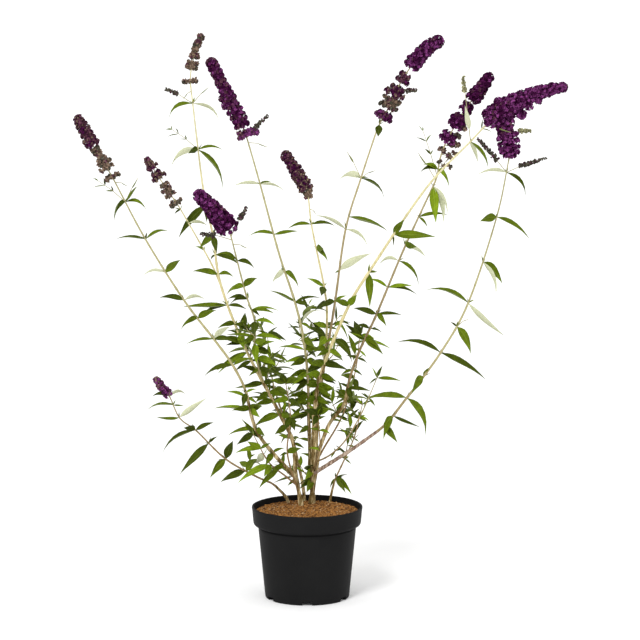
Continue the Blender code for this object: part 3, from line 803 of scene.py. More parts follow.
def stemBundle(trunkName):
    # A trunk is a bundle of stems grown together, one for each bough that it carries.
    line = limbLines[trunkName]
    carried = [name for name, spec in boughs.items() if spec["from"] == trunkName]
    thick = trunks[trunkName]["radii"][0]
    strand = thick * barkSpec["strand"]
    made = []
    for k, name in enumerate(carried):
        top = Vector(boughs[name]["path"][0])
        reach = min(max((top.z - line[0].z) / (line[-1].z - line[0].z), 0.2), 1.0) * pathLength(line)
        turn = 2 * math.pi * (k + 0.35) / len(carried)
        foot = Vector((math.cos(turn), math.sin(turn), 0)) * thick * barkSpec["footSpread"]
        head = top - pointOn(line, reach)[0]
        count = int(reach / barkSpec["step"])
        stem = []
        for i in range(count + 1):
            share = i / count
            ease = share * share * (3 - 2 * share)
            wave = Vector((math.sin(share * 7 + k * 2), math.cos(share * 6 + k), 0))
            wave = wave * barkSpec["sway"] * math.sin(math.pi * share)
            place = pointOn(line, reach * share)[0] + foot.lerp(head, ease) + wave
            stem.append((place, strand + (boughs[name]["radii"][0] - strand) * share))
        made.append(stem)
    return made


bundled = sorted({spec["from"] for spec in boughs.values()})
redBoughs = ["bough_arching_right"]
brownBoughs = [name for name in boughs if name not in redBoughs]
trunkLines = [stem for name in bundled for stem in stemBundle(name)]
trunkLines += [barkLine(name) for name in trunks if name not in bundled]
barkPieces = {  # lines, share of the relief, finish, and the solids that the piece stands for
    "trunkBark": (trunkLines, 1.3, "bark", trunks),
    "boughBark": ([barkLine(name) for name in brownBoughs], 0.6, "bark", brownBoughs),
    "archingBoughBark": ([barkLine(name) for name in redBoughs], 0.5, "barkRed", redBoughs),
}
for pieceName, (lines, depth, finishName, solids) in barkPieces.items():
    bark = tubes(
        pieceName, lines, barkSpec["sides"], barkSpec["relief"] * depth, barkSpec["grain"],
        finishes[finishName])
    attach(bark, "root")
    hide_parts(*solids)
print("bark made")

# Sprays: the same stems as the solids, with finer twigs, leaves and florets. Each node of a cane is
# its height and its leaves; a leaf is how far its tip lies to the right and up from the node, its
# arch and the width seen, with a minus where the underside shows.

sprays = {
    "spray_far_left": {
        "from": "bough_far_left", "radius": 2.3, "cane": "caneOlive",
        "path": [
            (-126, -9, 404), (-158, -13, 450), (-208, -21, 518),
            (-272, -33, 624), (-324, -46, 727)],
        "spike": [(-358, -53, 786), (-384, -60, 836)],
        "bloom": [
            (0.04, 0.04, 32, 32, "spent"), (0.18, 0.26, 30, 27, "spent"), (0.32, 0.42, 23, 20, "spent"),
            (0.48, 0.48, 19, 19, "spent"), (0.56, 0.98, 29, 21, "dusk")],
        "nodes": {
            688: [(-17, -36, 12, 9), (37, -15, 10, 4), (22, 26, 2, 3)],
            624: [(-51, 0, 6, 4), (41, 13, 7, 3)],
            566: [(-41, -6, 8, -4), (27, 21, 3, 9)],
            518: [(-41, 4, 5, 7), (36, 0, 8, -5)],
            486: [(-27, -19, 7, 10), (34, 14, 4, 9)],
            450: [(-48, -9, 5, 5), (27, 21, 5, -9), (37, -5, 5, 6)],
            404: [(-50, -20, 8, 9), (38, 10, 6, 6)],
        },
        "sprigs": [(688, -46, 34, "leafy"), (688, 22, 42, "thin"), (722, 20, -8, "thin")],
    },
    "spray_tall_left": {
        "from": "bough_tall_left", "radius": 2.5, "lean": (-2.2, 1.6), "cane": "caneStraw",
        "path": [(-117, 59, 447), (-150, 75, 536), (-162, 89, 614), (-179, 105, 693), (-201, 142, 868)],
        "spike": [(-196, 156, 914), (-182, 160, 956)],
        "bloom": [
            (0.08, 0.08, 29, 29, "spent"), (0.34, 0.42, 28, 25, "spent"), (0.55, 0.60, 21, 20, "spent"),
            (0.68, 1.0, 19, 16, "spent")],
        "nodes": {
            837: [(-42, -34, 15, 8), (46, -41, 16, -3)],
            759: [(-48, -36, 14, -12), (-15, -10, 3, 7), (44, -2, 7, 4), (42, -72, 14, 8)],
            665: [(-48, -57, 5, 15), (2, -31, 2, 5)],
            614: [(-22, -24, 3, 12), (8, -32, 1, 10)],
            581: [(-8, -11, 3, 4), (42, -20, 7, 10)],
            548: [(-44, 5, 4, 8), (28, -6, 6, 4)],
            496: [(-78, -3, 3, 7), (-46, -19, 6, 8), (34, -8, 4, 4)],
            463: [(-30, -8, 6, 7), (30, -10, 6, 4)],
            447: [(10, -26, 1, 13), (-22, 6, 3, 5)],
            432: [(-40, 8, 4, 7), (-30, -4, 2, 5), (22, 10, 3, 5)],
            416: [(-54, -32, 2, 13), (-52, -38, 4, 7)],
            402: [(-28, -18, 2, 6), (24, -4, 3, 6)],
            384: [(-26, 8, 3, 6)],
        },
        "sprigs": [
            (837, -46, 24, "bud"), (837, 27, 27, "thin"),
            (759, -44, 36, "leafy"), (858, -14, -14, "thin")],
        "branch": {
            "at": 0.33, "radius": 1.6, "tip": 0.7,
            "path": [(-163, 84, 562), (-189, 89, 609), (-220, 78, 666)],
            "spike": [(-250, 68, 712), (-275, 60, 752)],
            "bloom": [
                (0.08, 0.08, 32, 32, "spent"), (0.25, 0.35, 28, 25, "spent"), (0.45, 0.45, 23, 23, "spent"),
                (0.60, 0.68, 27, 24, "fading"), (0.80, 0.93, 24, 15, "fading")],
            "nodes": {
                660: [(-12, -9, 2, 4)],
                636: [(32, -4, 5, -3)],
                588: [(-17, 6, 3, 4)],
            },
        },
    },
    "spray_front_left": {
        "from": "bough_tall_left", "radius": 2.0, "lean": (2.4, -1.8), "cane": "caneOlive",
        "path": [(-89, 29, 427), (-89, 9, 478), (-104, -18, 530), (-128, -78, 640)],
        "spike": [(-154, -112, 682), (-182, -140, 718)],
        "bloom": [(0.13, 0.98, 42, 26, "mixed")],
        "nodes": {
            590: [(30, -14, 6, 4), (-38, 8, 9, 4)],
            541: [(-29, -15, 8, 13), (24, 14, 5, 10)],
            518: [(-34, 0, 6, 5), (-30, -10, 8, 6)],
            499: [(48, -3, 6, 4), (40, -7, 4, 5), (15, -12, 2, 6)],
            478: [(0, -24, 1, 15), (36, -9, 6, 4)],
            449: [(50, -10, 7, 8), (-50, 3, 3, 5), (-20, -16, 3, 12)],
            427: [(35, 12, 4, 6), (30, -14, 6, 5)],
            437: [(22, 6, 1, 7), (4, -36, 1, 13)],
            410: [(36, -14, 4, 7), (34, -22, 3, 6)],
            388: [(26, -4, 3, 8), (-18, -12, 2, 6)],
        },
        "sprigs": [(634, 26, 48, "bud"), (628, -52, 10, "bud"), (620, 24, -6, "thin")],
    },
    "spray_centre": {
        "from": "bough_centre", "radius": 2.4, "cane": "caneOlive",
        "path": [(-5, 44, 434), (-21, 46, 505), (-48, 49, 588), (-80, 52, 707), (-101, 55, 781)],
        "spike": [(-134, 58, 856), (-166, 60, 922)],
        "bloom": [
            (0.06, 0.10, 36, 31, "frill"), (0.18, 0.42, 30, 28, "deep"),
            (0.45, 0.98, 27, 22, "deep")],
        "lobes": [(0.52, -11, -2, 7, "deep"), (0.42, -13, 0, 7, "deep"), (0.08, 17, 4, 7, "frill")],
        "nodes": {
            707: [(-46, -3, 5, -6), (19, 5, 2, 5), (44, -15, 8, -4)],
            621: [(-45, -5, 8, 7), (43, 5, 2, 5)],
            557: [(-22, -19, 5, -10), (24, -29, 8, 10)],
            505: [(-45, 20, 4, 3), (46, 6, 6, 4), (27, -9, 3, 5)],
            468: [(-8, 1, 1, 3), (20, -14, 4, 6), (40, 20, 12, -3)],
            442: [(-22, 10, 3, 5), (20, -16, 2, 7)],
            422: [(-48, 4, 5, 5), (26, 2, 3, 7)],
            404: [(-38, -4, 4, 6), (-28, -10, 3, 11), (26, -12, 3, 7)],
            384: [(-34, -12, 4, 7), (-26, -24, 2, 8), (30, 10, 4, 7)],
            366: [(-40, -4, 5, 9), (-24, -18, 3, 9), (26, -6, 3, 8)],
        },
        "sprigs": [(786, 36, 38, "longBud"), (778, 32, -8, "thin")],
    },
    "spray_back": {
        "from": "bough_back", "radius": 2.2, "lean": (-1.8, 2.0), "cane": "caneStraw",
        "path": [(34, 96, 472), (29, 112, 522), (8, 142, 621), (2, 159, 671)],
        "spike": [(-18, 175, 712), (-42, 190, 748)],
        "bloom": [
            (0.02, 0.10, 18, 24, "spent"), (0.18, 0.44, 29, 28, "fading"),
            (0.50, 0.98, 26, 22, "dusk")],
        "nodes": {
            626: [(-42, -9, 6, 5), (42, -4, 6, 5)],
            586: [(13, -3, 1, 10), (20, -24, 6, 9)],
            522: [(-30, 14, 2, 5), (-5, -17, 1, 14)],
            493: [(25, 2, 3, 4), (-20, -12, 4, 8)],
            453: [(-24, 9, 2, 9), (20, -4, 2, 5)],
            438: [(-34, 16, 4, 7), (-14, -17, 1, 14)],
            418: [(-24, -4, 3, 8), (16, -10, 2, 7)],
        },
        "sprigs": [(652, 12, -10, "thin")],
    },
    "spray_tall_right": {
        "from": "bough_back", "radius": 2.2, "lean": (2.4, -1.6), "cane": "caneBrown",
        "path": [(48, 84, 500), (66, 81, 626), (92, 73, 715), (118, 64, 796)],
        "spike": [(140, 58, 840), (152, 54, 868), (178, 48, 911), (204, 44, 940), (231, 40, 956)],
        "bloom": [
            (0.14, 0.165, 36, 30, "deep"), (0.245, 0.305, 38, 38, "spent"), (0.36, 0.41, 38, 31, "dusk"),
            (0.49, 0.54, 27, 24, "dusk"), (0.64, 0.98, 33, 25, "mixed")],
        "nodes": {
            808: [(-3, -24, 0, 12)],
            715: [(-37, -2, 10, -9), (41, -42, 13, 5), (14, 0, 2, 3)],
            648: [(68, -26, 7, 5)],
            626: [(-54, 24, 7, -4), (39, -37, 11, -7)],
            554: [(56, 30, 4, -14), (-8, -6, 1, 3)],
            500: [(-30, -14, 4, 7), (22, 10, 3, 5)],
        },
        "sprigs": [(715, -24, 46, "thin"), (715, 24, 14, "thin"), (862, 36, 6, "bud")],
    },
    "spray_front_right": {
        "from": "bough_front_right", "radius": 2.3, "cane": "caneBrown",
        "path": [(91, 1, 432), (117, -10, 490), (163, -36, 607), (215, -67, 727)],
        "spike": [(222, -74, 765), (235, -86, 801), (265, -99, 853), (305, -120, 911)],
        "bloom": [
            (0.16, 0.16, 13, 13, "spent"), (0.26, 0.26, 17, 17, "spent"), (0.36, 0.39, 33, 29, "mixed"),
            (0.49, 0.57, 33, 28, "dark"), (0.635, 0.675, 23, 22, "dark"), (0.75, 0.98, 29, 21, "dark")],
        "lobes": [
            (0.30, 11, 2, 7, "spent"), (0.35, 17, 8, 7, "spent"), (0.30, 21, 2, 6, "spent"),
            (0.22, 14, -3, 7, "spent"), (0.22, 23, 3, 6, "spent"), (0.50, 13, -8, 6, "spent"),
            (0.15, 17, -6, 6, "spent"), (0.12, 8, 0, 5, "spent")],
        "nodes": {
            746: [(17, -32, 9, 10), (-27, 7, 5, 5), (-32, -7, 8, 5)],
            718: [(5, -63, 2, 16), (17, -64, 8, -8), (24, -50, 8, -5)],
            664: [(50, 3, 5, 6), (15, -19, 3, 4)],
            613: [(18, -3, 2, 7), (36, -20, 6, -4)],
            587: [(34, -47, 11, 8), (-34, -9, 10, -4)],
            540: [(51, -14, 7, 6), (-34, 14, 4, 4), (42, 2, 3, 5)],
            493: [(43, -2, 3, 4), (16, -22, 4, 10), (-41, 10, 2, 7)],
            449: [(27, -24, 8, 12), (20, -10, 3, 4), (-30, 12, 3, 5)],
            467: [(-26, 4, 4, 4), (22, -8, 3, 4)],
            447: [(32, -26, 5, 15), (46, -16, 4, 4), (-24, 12, 1, 4)],
            428: [(12, -12, 1, 4), (-14, 4, 1, 4)],
            394: [(-20, -10, 2, 6), (18, -12, 2, 5)],
        },
        "sprigs": [(735, -24, 76, "leafy"), (728, -30, 46, "thin"), (740, 24, 30, "thin")],
    },
    "spray_far_right": {
        "from": "bough_far_right", "radius": 2.8, "cane": "caneStraw",
        "path": [(69, -32, 507), (104, -50, 570), (198, -99, 718), (270, -134, 800), (299, -150, 834)],
        "spike": [(362, -178, 878), (424, -200, 898)],
        "bloom": [
            (0.04, 0.34, 40, 38, "mixed"), (0.34, 0.66, 34, 27, "bright"),
            (0.66, 0.98, 26, 20, "bright")],
        "lobes": [
            (0.06, -7, -6, 8, "mixed"), (0.26, 5, -24, 10, "mixed"), (0.40, 8, -20, 9, "bright"),
            (0.52, 4, -14, 7, "bright"), (0.64, 4, -12, 6, "bright"), (0.18, -4, 17, 8, "bright"),
            (0.34, -2, 14, 7, "bright")],
        "nodes": {
            800: [(29, -46, 8, 5), (14, -34, 3, -3)],
            637: [(71, -4, 2, 15), (17, 24, 2, 7), (0, -20, 1, 3)],
            570: [(2, -60, 3, 14), (16, 0, 2, 4)],
            509: [(-26, 10, 4, 7), (14, 20, 2, 8)],
            484: [(-14, -12, 1, 6), (14, -8, 1, 4)],
            452: [(30, -42, 8, 15), (-16, -8, 2, 6)],
            430: [(22, -10, 3, 8), (-22, -10, 3, 8)],
        },
        "sprigs": [(800, -13, 105, "tallPale"), (806, 28, 30, "leafy"), (826, 44, -10, "thin")],
    },
    "spray_arching_right": {
        "from": "bough_arching_right", "radius": 2.3, "cane": "caneOlive",
        "path": [(171, 41, 339), (229, 46, 417), (276, 50, 503), (324, 59, 650), (345, 65, 752)],
        "spike": [(338, 68, 796), (320, 70, 832)],
        "bloom": [
            (0.03, 0.10, 26, 36, "bright"), (0.18, 0.42, 39, 41, "bright"),
            (0.50, 0.98, 32, 30, "mixed")],
        "nodes": {
            726: [(-52, -6, 8, -7), (32, -48, 13, 8)],
            650: [(-31, -9, 2, 15), (58, -40, 8, 9)],
            573: [(34, -38, 5, 16), (22, -60, 9, -6)],
            503: [(-74, 22, 12, 6), (64, -58, -2, -8)],
            462: [(24, -48, 5, 15), (-12, 8, 1, 3)],
            417: [(-79, 17, 12, 8), (79, -48, 6, 11)],
            376: [(-22, -30, 5, 16), (10, 16, 2, 6)],
            339: [(-76, -4, 8, 11), (31, -71, 14, 14)],
            308: [(-17, -41, 8, 15), (47, -20, 0, 5)],
            290: [(23, -28, 3, 11)],
        },
        "sprigs": [
            (726, 66, 24, "longBud"), (726, -48, 56, "longBud"),
            (790, 42, 6, "pale"), (462, 20, 12, "thin")],
    },
    "spray_low_left": {
        "from": "sucker_left", "radius": 1.9, "cane": "caneOlive",
        "path": [(-84, 47, 198), (-140, 30, 234), (-190, 10, 288), (-217, -2, 311), (-233, -15, 350)],
        "spike": [(-247, -24, 370), (-258, -30, 387)],
        "bloom": [(0.20, 0.95, 20, 15, "frill")],
        "nodes": {
            352: [(-29, 0, 6, 4), (27, 2, 8, -3)],
            336: [(-48, -12, 9, 4), (19, -1, 0, 3)],
            313: [(-39, 2, -2, 5), (47, 34, 1, -10)],
            289: [(-18, 5, 2, 7), (-57, -42, 12, 5), (33, 14, 2, 6)],
            264: [(-50, -54, 2, 13), (16, 12, 2, 5)],
            234: [(-26, -31, 3, 14), (14, 34, 3, 15)],
            211: [(-44, -20, 3, 14), (-20, -3, 2, 4), (20, 24, 3, 7)],
        },
    },
    "spray_low_right": {
        "from": "sucker_right", "radius": 1.6, "cane": "caneOlive",
        "path": [(60, 80, 214), (82, 92, 262), (96, 104, 318)],
        "nodes": {
            316: [(-14, 14, 1, 4), (20, 6, 2, 4)],
            292: [(-14, 4, 1, 4), (15, -7, 2, 4)],
            258: [(-12, 8, 1, 3), (10, -6, 1, 3)],
            224: [(-12, 6, 1, 3), (12, -10, 1, 3)],
            192: [(28, -28, 5, 8), (17, -24, 3, 7), (13, 2, 1, 5), (-10, -19, 2, 4), (22, 6, 2, 3)],
        },
    },
    "spray_low_back": {
        "from": "sucker_back", "radius": 2.1, "cane": "caneOlive",
        "path": [(-44, 128, 296), (-62, 148, 356), (-70, 164, 430)],
        "nodes": {
            428: [(34, -10, 5, 8), (-22, 8, 3, 5), (20, 16, 2, 4)],
            396: [(36, -16, 4, 6), (-26, 4, 3, 6)],
            366: [(40, -26, 4, 8), (22, 4, 3, 7), (-18, -10, 2, 6)],
            336: [(26, -6, 3, 8), (-24, 6, 3, 6)],
            300: [(18, -10, 2, 6), (-18, 0, 2, 5)],
        },
    },
    "spray_inner_left": {
        "from": "trunk_left", "at": 0.72, "radius": 1.7, "cane": "caneBrown",
        "path": [(-40, 4, 212), (-66, -14, 238), (-92, -30, 290)],
        "nodes": {
            288: [(-28, -16, 3, 8), (-16, 18, 1, 5)],
            262: [(-22, 15, 0, 7), (-45, -8, 5, 10), (18, 10, 2, 6)],
            252: [(-14, -18, 1, -13)],
            232: [(-58, -32, 6, 12), (-12, -18, 1, 9)],
            220: [(-34, -32, 4, 11), (-20, -8, 3, 7)],
        },
    },
    "spray_inner_right": {
        "from": "trunk_main", "at": 0.78, "radius": 1.5, "cane": "caneOlive",
        "path": [(38, 12, 244), (66, -12, 276), (95, -28, 330), (120, -40, 392)],
        "nodes": {
            388: [(10, 22, 1, 6), (-9, 19, 1, 3), (41, -5, 2, 5), (-14, -12, 1, 3)],
            352: [(-14, 9, 1, 3), (12, -15, 1, 4), (-8, -17, 1, 3)],
            318: [(-15, 5, 1, 4), (17, -7, 2, 4), (-3, 11, 1, 3)],
            284: [(-17, 14, 1, 3), (10, 1, 1, 3), (6, -12, 1, 3)],
            254: [(-8, -14, 1, 4), (10, 4, 1, 3)],
        },
    },
    "spray_inner_front": {
        "from": "trunk_main", "at": 0.62, "radius": 1.5, "cane": "caneBrown",
        "path": [(14, 6, 232), (22, -34, 270), (18, -66, 330)],
        "nodes": {
            329: [(-24, 10, 3, 9), (22, 12, 3, 8), (6, 20, 1, 7), (-8, -18, 1, 8)],
            300: [(20, -8, 3, 6), (-18, 2, 2, 5)],
            262: [(-20, 2, 2, 5)],
        },
    },
    "spray_inner_back": {
        "from": "trunk_main", "at": 0.7, "radius": 1.8, "cane": "caneBrown",
        "path": [(28, 62, 246), (62, 100, 300), (84, 132, 372), (92, 150, 436)],
        "nodes": {
            430: [(-11, 27, 1, 7), (-26, 20, 1, 6), (8, 24, 1, 5), (26, -6, 3, 4)],
            391: [(-22, 4, 3, 5), (18, -10, 3, 5)],
            358: [(-24, 6, 3, 7), (8, -22, 1, 9)],
            325: [(-22, 0, 3, 6), (12, -12, 1, 5)],
            293: [(-16, 6, 2, 5), (15, -6, 1, 4)],
        },
    },
    "spray_inner_centre": {
        "from": "trunk_left", "at": 0.5, "radius": 1.7, "cane": "caneBrown",
        "path": [(-26, 2, 216), (-34, -24, 262), (-28, -48, 322), (-36, -60, 384)],
        "nodes": {
            382: [(-26, 6, 3, 9), (24, 10, 3, 8), (-8, 20, 1, 8)],
            352: [(-28, -4, 4, 8), (22, -12, 3, 8)],
            322: [(8, -22, 1, 13), (-10, -23, 2, 10), (24, 6, 3, 6)],
            282: [(-18, 6, 2, 6)],
            254: [(24, 10, 3, 7), (-14, -6, 2, 5)],
        },
    },
}
limbLeaves = {  # leaves that stand on the wood itself
    "trunk_main": {
        234: [(-24, 9, 3, 6)],
        214: [(-16, 4, 3, 7), (-14, -16, 2, 9)],
        196: [(-22, -14, 3, 11), (-10, -20, 1, 7)],
    },
    "trunk_left": {200: [(-16, -12, 2, 6)]},
    "bough_far_left": {
        362: [(-5, -24, 1, 8), (20, 6, 3, 5)],
        348: [(-36, 10, 4, 4), (18, -12, 2, 6)],
        326: [(-64, 2, 6, 5), (-30, 0, 4, 8), (22, 8, 3, 7), (18, -12, 2, 9)],
        292: [(-50, -12, 6, 8), (16, -10, 2, 7)],
        275: [(-35, 36, 0, 6), (-24, 10, 3, 6)],
        250: [(-12, -20, 1, 9), (22, 8, 3, 6)],
        226: [(-22, -8, 3, 7)],
    },
    "bough_tall_left": {
        363: [(-52, -8, 1, 8), (-34, -4, 3, 6), (22, 5, 3, 9)],
        348: [(34, -8, 4, 8), (-22, -16, 2, 8)],
        332: [(-34, -6, 4, 7), (-46, 8, 4, 6), (26, 4, 3, 8)],
        310: [(-46, -22, 6, 14), (24, -8, 3, 7)],
        290: [(-20, -12, 2, 7), (22, 10, 3, 6)],
        262: [(20, -10, 2, 6)],
    },
    "bough_centre": {
        344: [(-36, -4, 4, 9), (-26, -20, 2, 10), (24, -14, 3, 8)],
        328: [(-32, 6, 4, 7), (26, 2, 3, 6)],
        310: [(-30, -10, 4, 8), (20, -16, 2, 7)],
        288: [(-18, -10, 2, 7)],
        264: [(-20, 4, 2, 6)],
    },
    "bough_back": {
        390: [(26, 2, 4, 8), (-22, 8, 3, 7)],
        368: [(24, -10, 3, 8), (-18, 6, 2, 7)],
        346: [(24, 4, 3, 7), (20, -16, 2, 8), (-20, -8, 3, 7)],
        322: [(-18, 6, 2, 6), (22, -8, 3, 7)],
        298: [(16, 6, 2, 5), (-16, -8, 2, 6)],
    },
    "bough_front_right": {
        362: [(8, -24, 1, 10), (40, -6, 2, 6), (-16, 8, 2, 5)],
        336: [(-16, -12, 1, 6), (18, 2, 2, 4)],
        304: [(20, -4, 2, 4)],
    },
    "bough_far_right": {
        404: [(32, -2, 4, 9), (44, -10, 5, 10), (-20, 8, 3, 8)],
        386: [(28, -10, 3, 9), (-26, 2, 4, 8)],
        366: [(28, -2, 4, 8), (22, -16, 2, 9), (-22, 4, 3, 8)],
        346: [(24, -12, 3, 9), (-20, -6, 2, 7)],
        324: [(20, 4, 2, 6), (-14, 10, 2, 5)],
    },
}
leafSpec = {
    "length": 62.0, "slimness": 0.205, "widest": 16.5, "foldDepth": 3.1, "sprout": (8, 18),
    "broad": 7, "short": 45, "stub": 26,
    "outline": [
        (0.0, 0.05), (0.05, 0.11), (0.13, 0.30), (0.24, 0.46), (0.37, 0.50), (0.53, 0.43),
        (0.70, 0.28), (0.86, 0.12), (1.0, 0.0)],
    "fold": 0.11, "belly": 0.012, "sharpFrom": 60,
}
leafDeals = {tint: Deal() for tint in greens}
floretDeals = {tint: Deal() for tint in blossom}
stemLines = {cane: [] for cane in canes}
twigLines = []
viewer = Vector((0, -0.988, 0.156))
viewSlope = 0.158  # how much higher a thing looks for each unit that it lies further back


def addLeaf(tint, root, chord, arch, width, facing=None):
    # The blade runs along chord and rises by arch; facing is how far its top turns to the front.
    ahead = chord.normalized()
    lift = upward - ahead * ahead.z
    lift = lift.normalized() if lift.length > 0.15 else Vector((0, -1, 0))
    start = chord + lift * arch * 4
    ahead = start.normalized()
    top = (lift - ahead * lift.dot(ahead)).normalized()
    if facing is not None:
        front = viewer - ahead * viewer.dot(ahead)
        if front.length > 0.1:
            share = max(-1.0, min(1.0, facing / front.length))
            front.normalize()
            rest = front.cross(ahead)
            if rest.dot(top) < 0:
                rest = -rest
            top = front * share + rest * math.sqrt(1 - share * share)
    size = (start.length, width, width * leafSpec["foldDepth"])
    leafDeals[tint].add(root, ahead, top, size, lift * arch * -4)


def addReadLeaf(tints, root, leaf, chance):
    # A leaf that looks short for its kind points towards the viewer, or away if its underside shows.
    across, rise, arch, seen = leaf
    span = math.hypot(across, rise)
    full = leafSpec["length"] * chance.uniform(0.92, 1.08)
    broad = abs(seen) >= leafSpec["broad"]
    depth = chance.uniform(-10, 10)
    if span < leafSpec["short"] and (broad or span > leafSpec["stub"]):
        depth = math.sqrt(max((full * 0.94) ** 2 - span ** 2, 0.0)) * (-1 if seen > 0 else 1)
        if not broad:
            depth *= 0.6
    chord = Vector((across, depth, rise - depth * viewSlope))
    length = max(chord.length, span)
    width = length * leafSpec["slimness"] * chance.uniform(0.92, 1.1)
    width = max(min(width, leafSpec["widest"]), abs(seen) * 0.98)
    tint = chance.choice(tints)
    addLeaf("leafTurned" if seen < 0 else tint, root, chord, arch, width, seen / width)


def addRuleLeaf(tints, root, heading, length, droop, chance):
    # A leaf by the source's rule: out along its heading, with its tip hanging.
    heading = heading.normalized()
    chord = heading * length * 0.93 - upward * length * 0.24 * droop
    width = length * leafSpec["slimness"] * chance.uniform(0.9, 1.18)
    ahead = chord.normalized()
    lift = upward - ahead * ahead.z
    natural = viewer.dot(lift.normalized()) if lift.length > 0.1 else 0.5
    facing = max(-0.95, min(0.95, natural + chance.gauss(0.12, 0.42)))
    addLeaf(chance.choice(tints), root, chord, length * 0.10 * droop, width, facing)


def addPair(tints, root, way, turn, length, lift, chance):
    side = armOf(way, turn)
    for sign in (-1, 1):
        heading = side * sign + way * lift * chance.uniform(0.6, 1.4) + upward * 0.1
        size, droop = length * chance.uniform(0.84, 1.14), chance.uniform(0.4, 1.3)
        addRuleLeaf(tints, root, heading, size, droop, chance)


def bentAt(root, middle, end, share):
    return root.lerp(middle, share * 2) if share < 0.5 else middle.lerp(end, share * 2 - 1)


shootSpec = {
    "rise": 0.12, "sag": 0.03, "radii": (1.25, 0.95, 0.55), "pairGap": 19, "lift": 0.8,
    "tuft": 0.36, "tuftLift": 2.4,
}


def addShoot(tints, root, heading, length, leafLength, chance):
    # A leafy side shoot: pairs of leaves turned a quarter each node, smaller to its tip.
    heading = heading.normalized()
    middle = root + heading * length * 0.5 - upward * length * shootSpec["sag"]
    end = root + heading * length * 0.92 + upward * length * shootSpec["rise"]
    twigLines.append(list(zip((root, middle, end), shootSpec["radii"])))
    turn = chance.uniform(0, math.pi)
    pairs = max(2, round(length / shootSpec["pairGap"]))
    for i in range(pairs):
        share = (i + 0.7) / (pairs + 0.2)
        size = leafLength * (0.72 + 0.38 * math.sin(math.pi * share))
        place = bentAt(root, middle, end, share)
        addPair(tints, place, heading, turn + i * math.pi / 2, size, shootSpec["lift"], chance)
    tuft = leafLength * shootSpec["tuft"]
    addPair(["leafYoung", "leafBright"], end, heading, turn, tuft, shootSpec["tuftLift"], chance)


def addSprout(root, way, turn, chance):
    # The small leaves that break at each node.
    tints = ["leafYoung", "leafBright", "leafMid", "leafDeep"]
    side = armOf(way, turn)
    for sign in (-1, 1):
        for k in range(chance.choice((1, 1, 2))):
            spread = Vector((chance.gauss(0, 0.4), chance.gauss(0, 0.4), chance.gauss(0.1, 0.3)))
            heading = side * sign * 0.7 + way + spread
            addRuleLeaf(tints, root, heading, chance.uniform(*leafSpec["sprout"]), 0.3, chance)


budSpec = {  # shut buds: where along the stalk they begin, and how they stand
    "from": {"bud": 0.55, "longBud": 0.32, "pale": 0.5, "tallPale": 0.76},
    "gap": 2.9, "ring": 6, "ringTurn": 1.047, "size": (5.0, 2.0), "stalkArch": 2.5,
    "radii": (0.75, 0.6, 0.45),
}


def addBuds(root, end, way, kind, chance):
    low = budSpec["from"][kind]
    largest, taper = budSpec["size"]
    steps = round((end - root).length * (1 - low) / budSpec["gap"])
    for i in range(steps):
        share = i / steps
        centre = root.lerp(end, low + (1.05 - low) * share) + upward * budSpec["stalkArch"] * (1 - share)
        for k in range(budSpec["ring"]):
            arm = armOf(way, k * budSpec["ringTurn"] + i * 0.6 + chance.gauss(0, 0.3))
            fan = (arm + way * chance.gauss(0.5, 0.4)).normalized()
            size = (largest - taper * share) * chance.uniform(0.6, 1.3)
            tint = chance.choice(["budDark", "budDark", "petalDusk"])
            if kind in ("pale", "tallPale"):
                tint = "budPale"
            wide = size * (0.9 if tint == "petalDusk" else 0.8)
            floretDeals[tint].add(centre + fan * 0.4, fan, way + fan.cross(way), (size, wide, wide))


def addSprig(root, across, rise, kind, chance):
    # A thin side stalk: bare, with small leaves, or ending in a spike of shut buds.
    end = root + Vector((across, chance.uniform(-14, 14), rise))
    middle = root.lerp(end, 0.5) + upward * budSpec["stalkArch"]
    twigLines.append(list(zip((root, middle, end), budSpec["radii"])))
    way = (end - middle).normalized()
    if kind in budSpec["from"]:
        addBuds(root, end, way, kind, chance)
    elif kind == "leafy":
        for share, size in ((0.45, 18), (0.75, 22), (1.0, 16)):
            place = bentAt(root, middle, end, share)
            addPair(["leafDeep", "leafMid"], place, way, chance.uniform(0, 3), size, 1.1, chance)
    else:
        addRuleLeaf(["leafDeep", "leafMid"], middle, way, (end - middle).length, 0.2, chance)
    if kind == "tallPale":
        addLeaf("leafTurned", root.lerp(middle, 0.35), Vector((-8, -14, 42)), 1.0, 10.0, -0.85)


kinds = {  # what each stretch of a spike is made of: tints, each with the share up to which it is drawn
    "bright": (("petalBright", 0.62), ("petalDeep", 1.0)),
    "deep": (("petalBright", 0.26), ("petalDusk", 0.50), ("petalDeep", 1.0)),
    "dusk": (("petalDusk", 0.62), ("petalDeep", 0.85), ("petalSpent", 1.0)),
    "mixed": (("petalBright", 0.42), ("petalDusk", 0.50), ("petalDeep", 1.0)),
    "dark": (("petalBright", 0.10), ("petalDeep", 0.9), ("petalDusk", 1.0)),
    "fading": (("petalDusk", 0.40), ("petalDeep", 0.52), ("petalSpent", 1.0)),
    "frill": (("petalBright", 0.55), ("petalDusk", 0.8), ("petalSpent", 1.0)),
    "spent": (("petalSpent", 0.82), ("petalDusk", 0.93), ("budDark", 1.0)),
}
spikeSpec = {
    "step": 8.6, "cyme": 7.2, "dome": 5.0, "floret": 6.8, "husk": 6.0, "core": 0.55, "coreStep": 4.0,
    "fans": (-0.55, 0.0, 0.48, 0.95), "spentFans": (-0.9, -0.5, -0.15, 0.2, 0.55, 0.95),
    "tipFrom": 0.9, "spentGaps": 0.2, "coreSides": 10, "coreRelief": 3.0, "coreGrain": 260.0,
    "lobeStalk": (0.6, 0.5),
}
# Dark tubes inside the spikes, partly their own dark buds and partly painted shade between the cymes.
shadeCoreLines = {"petalDeep": [], "petalSpent": []}


def pickTint(kind, chance):
    draw = chance.random()
    return next(name for name, share in kinds[kind] if draw <= share)


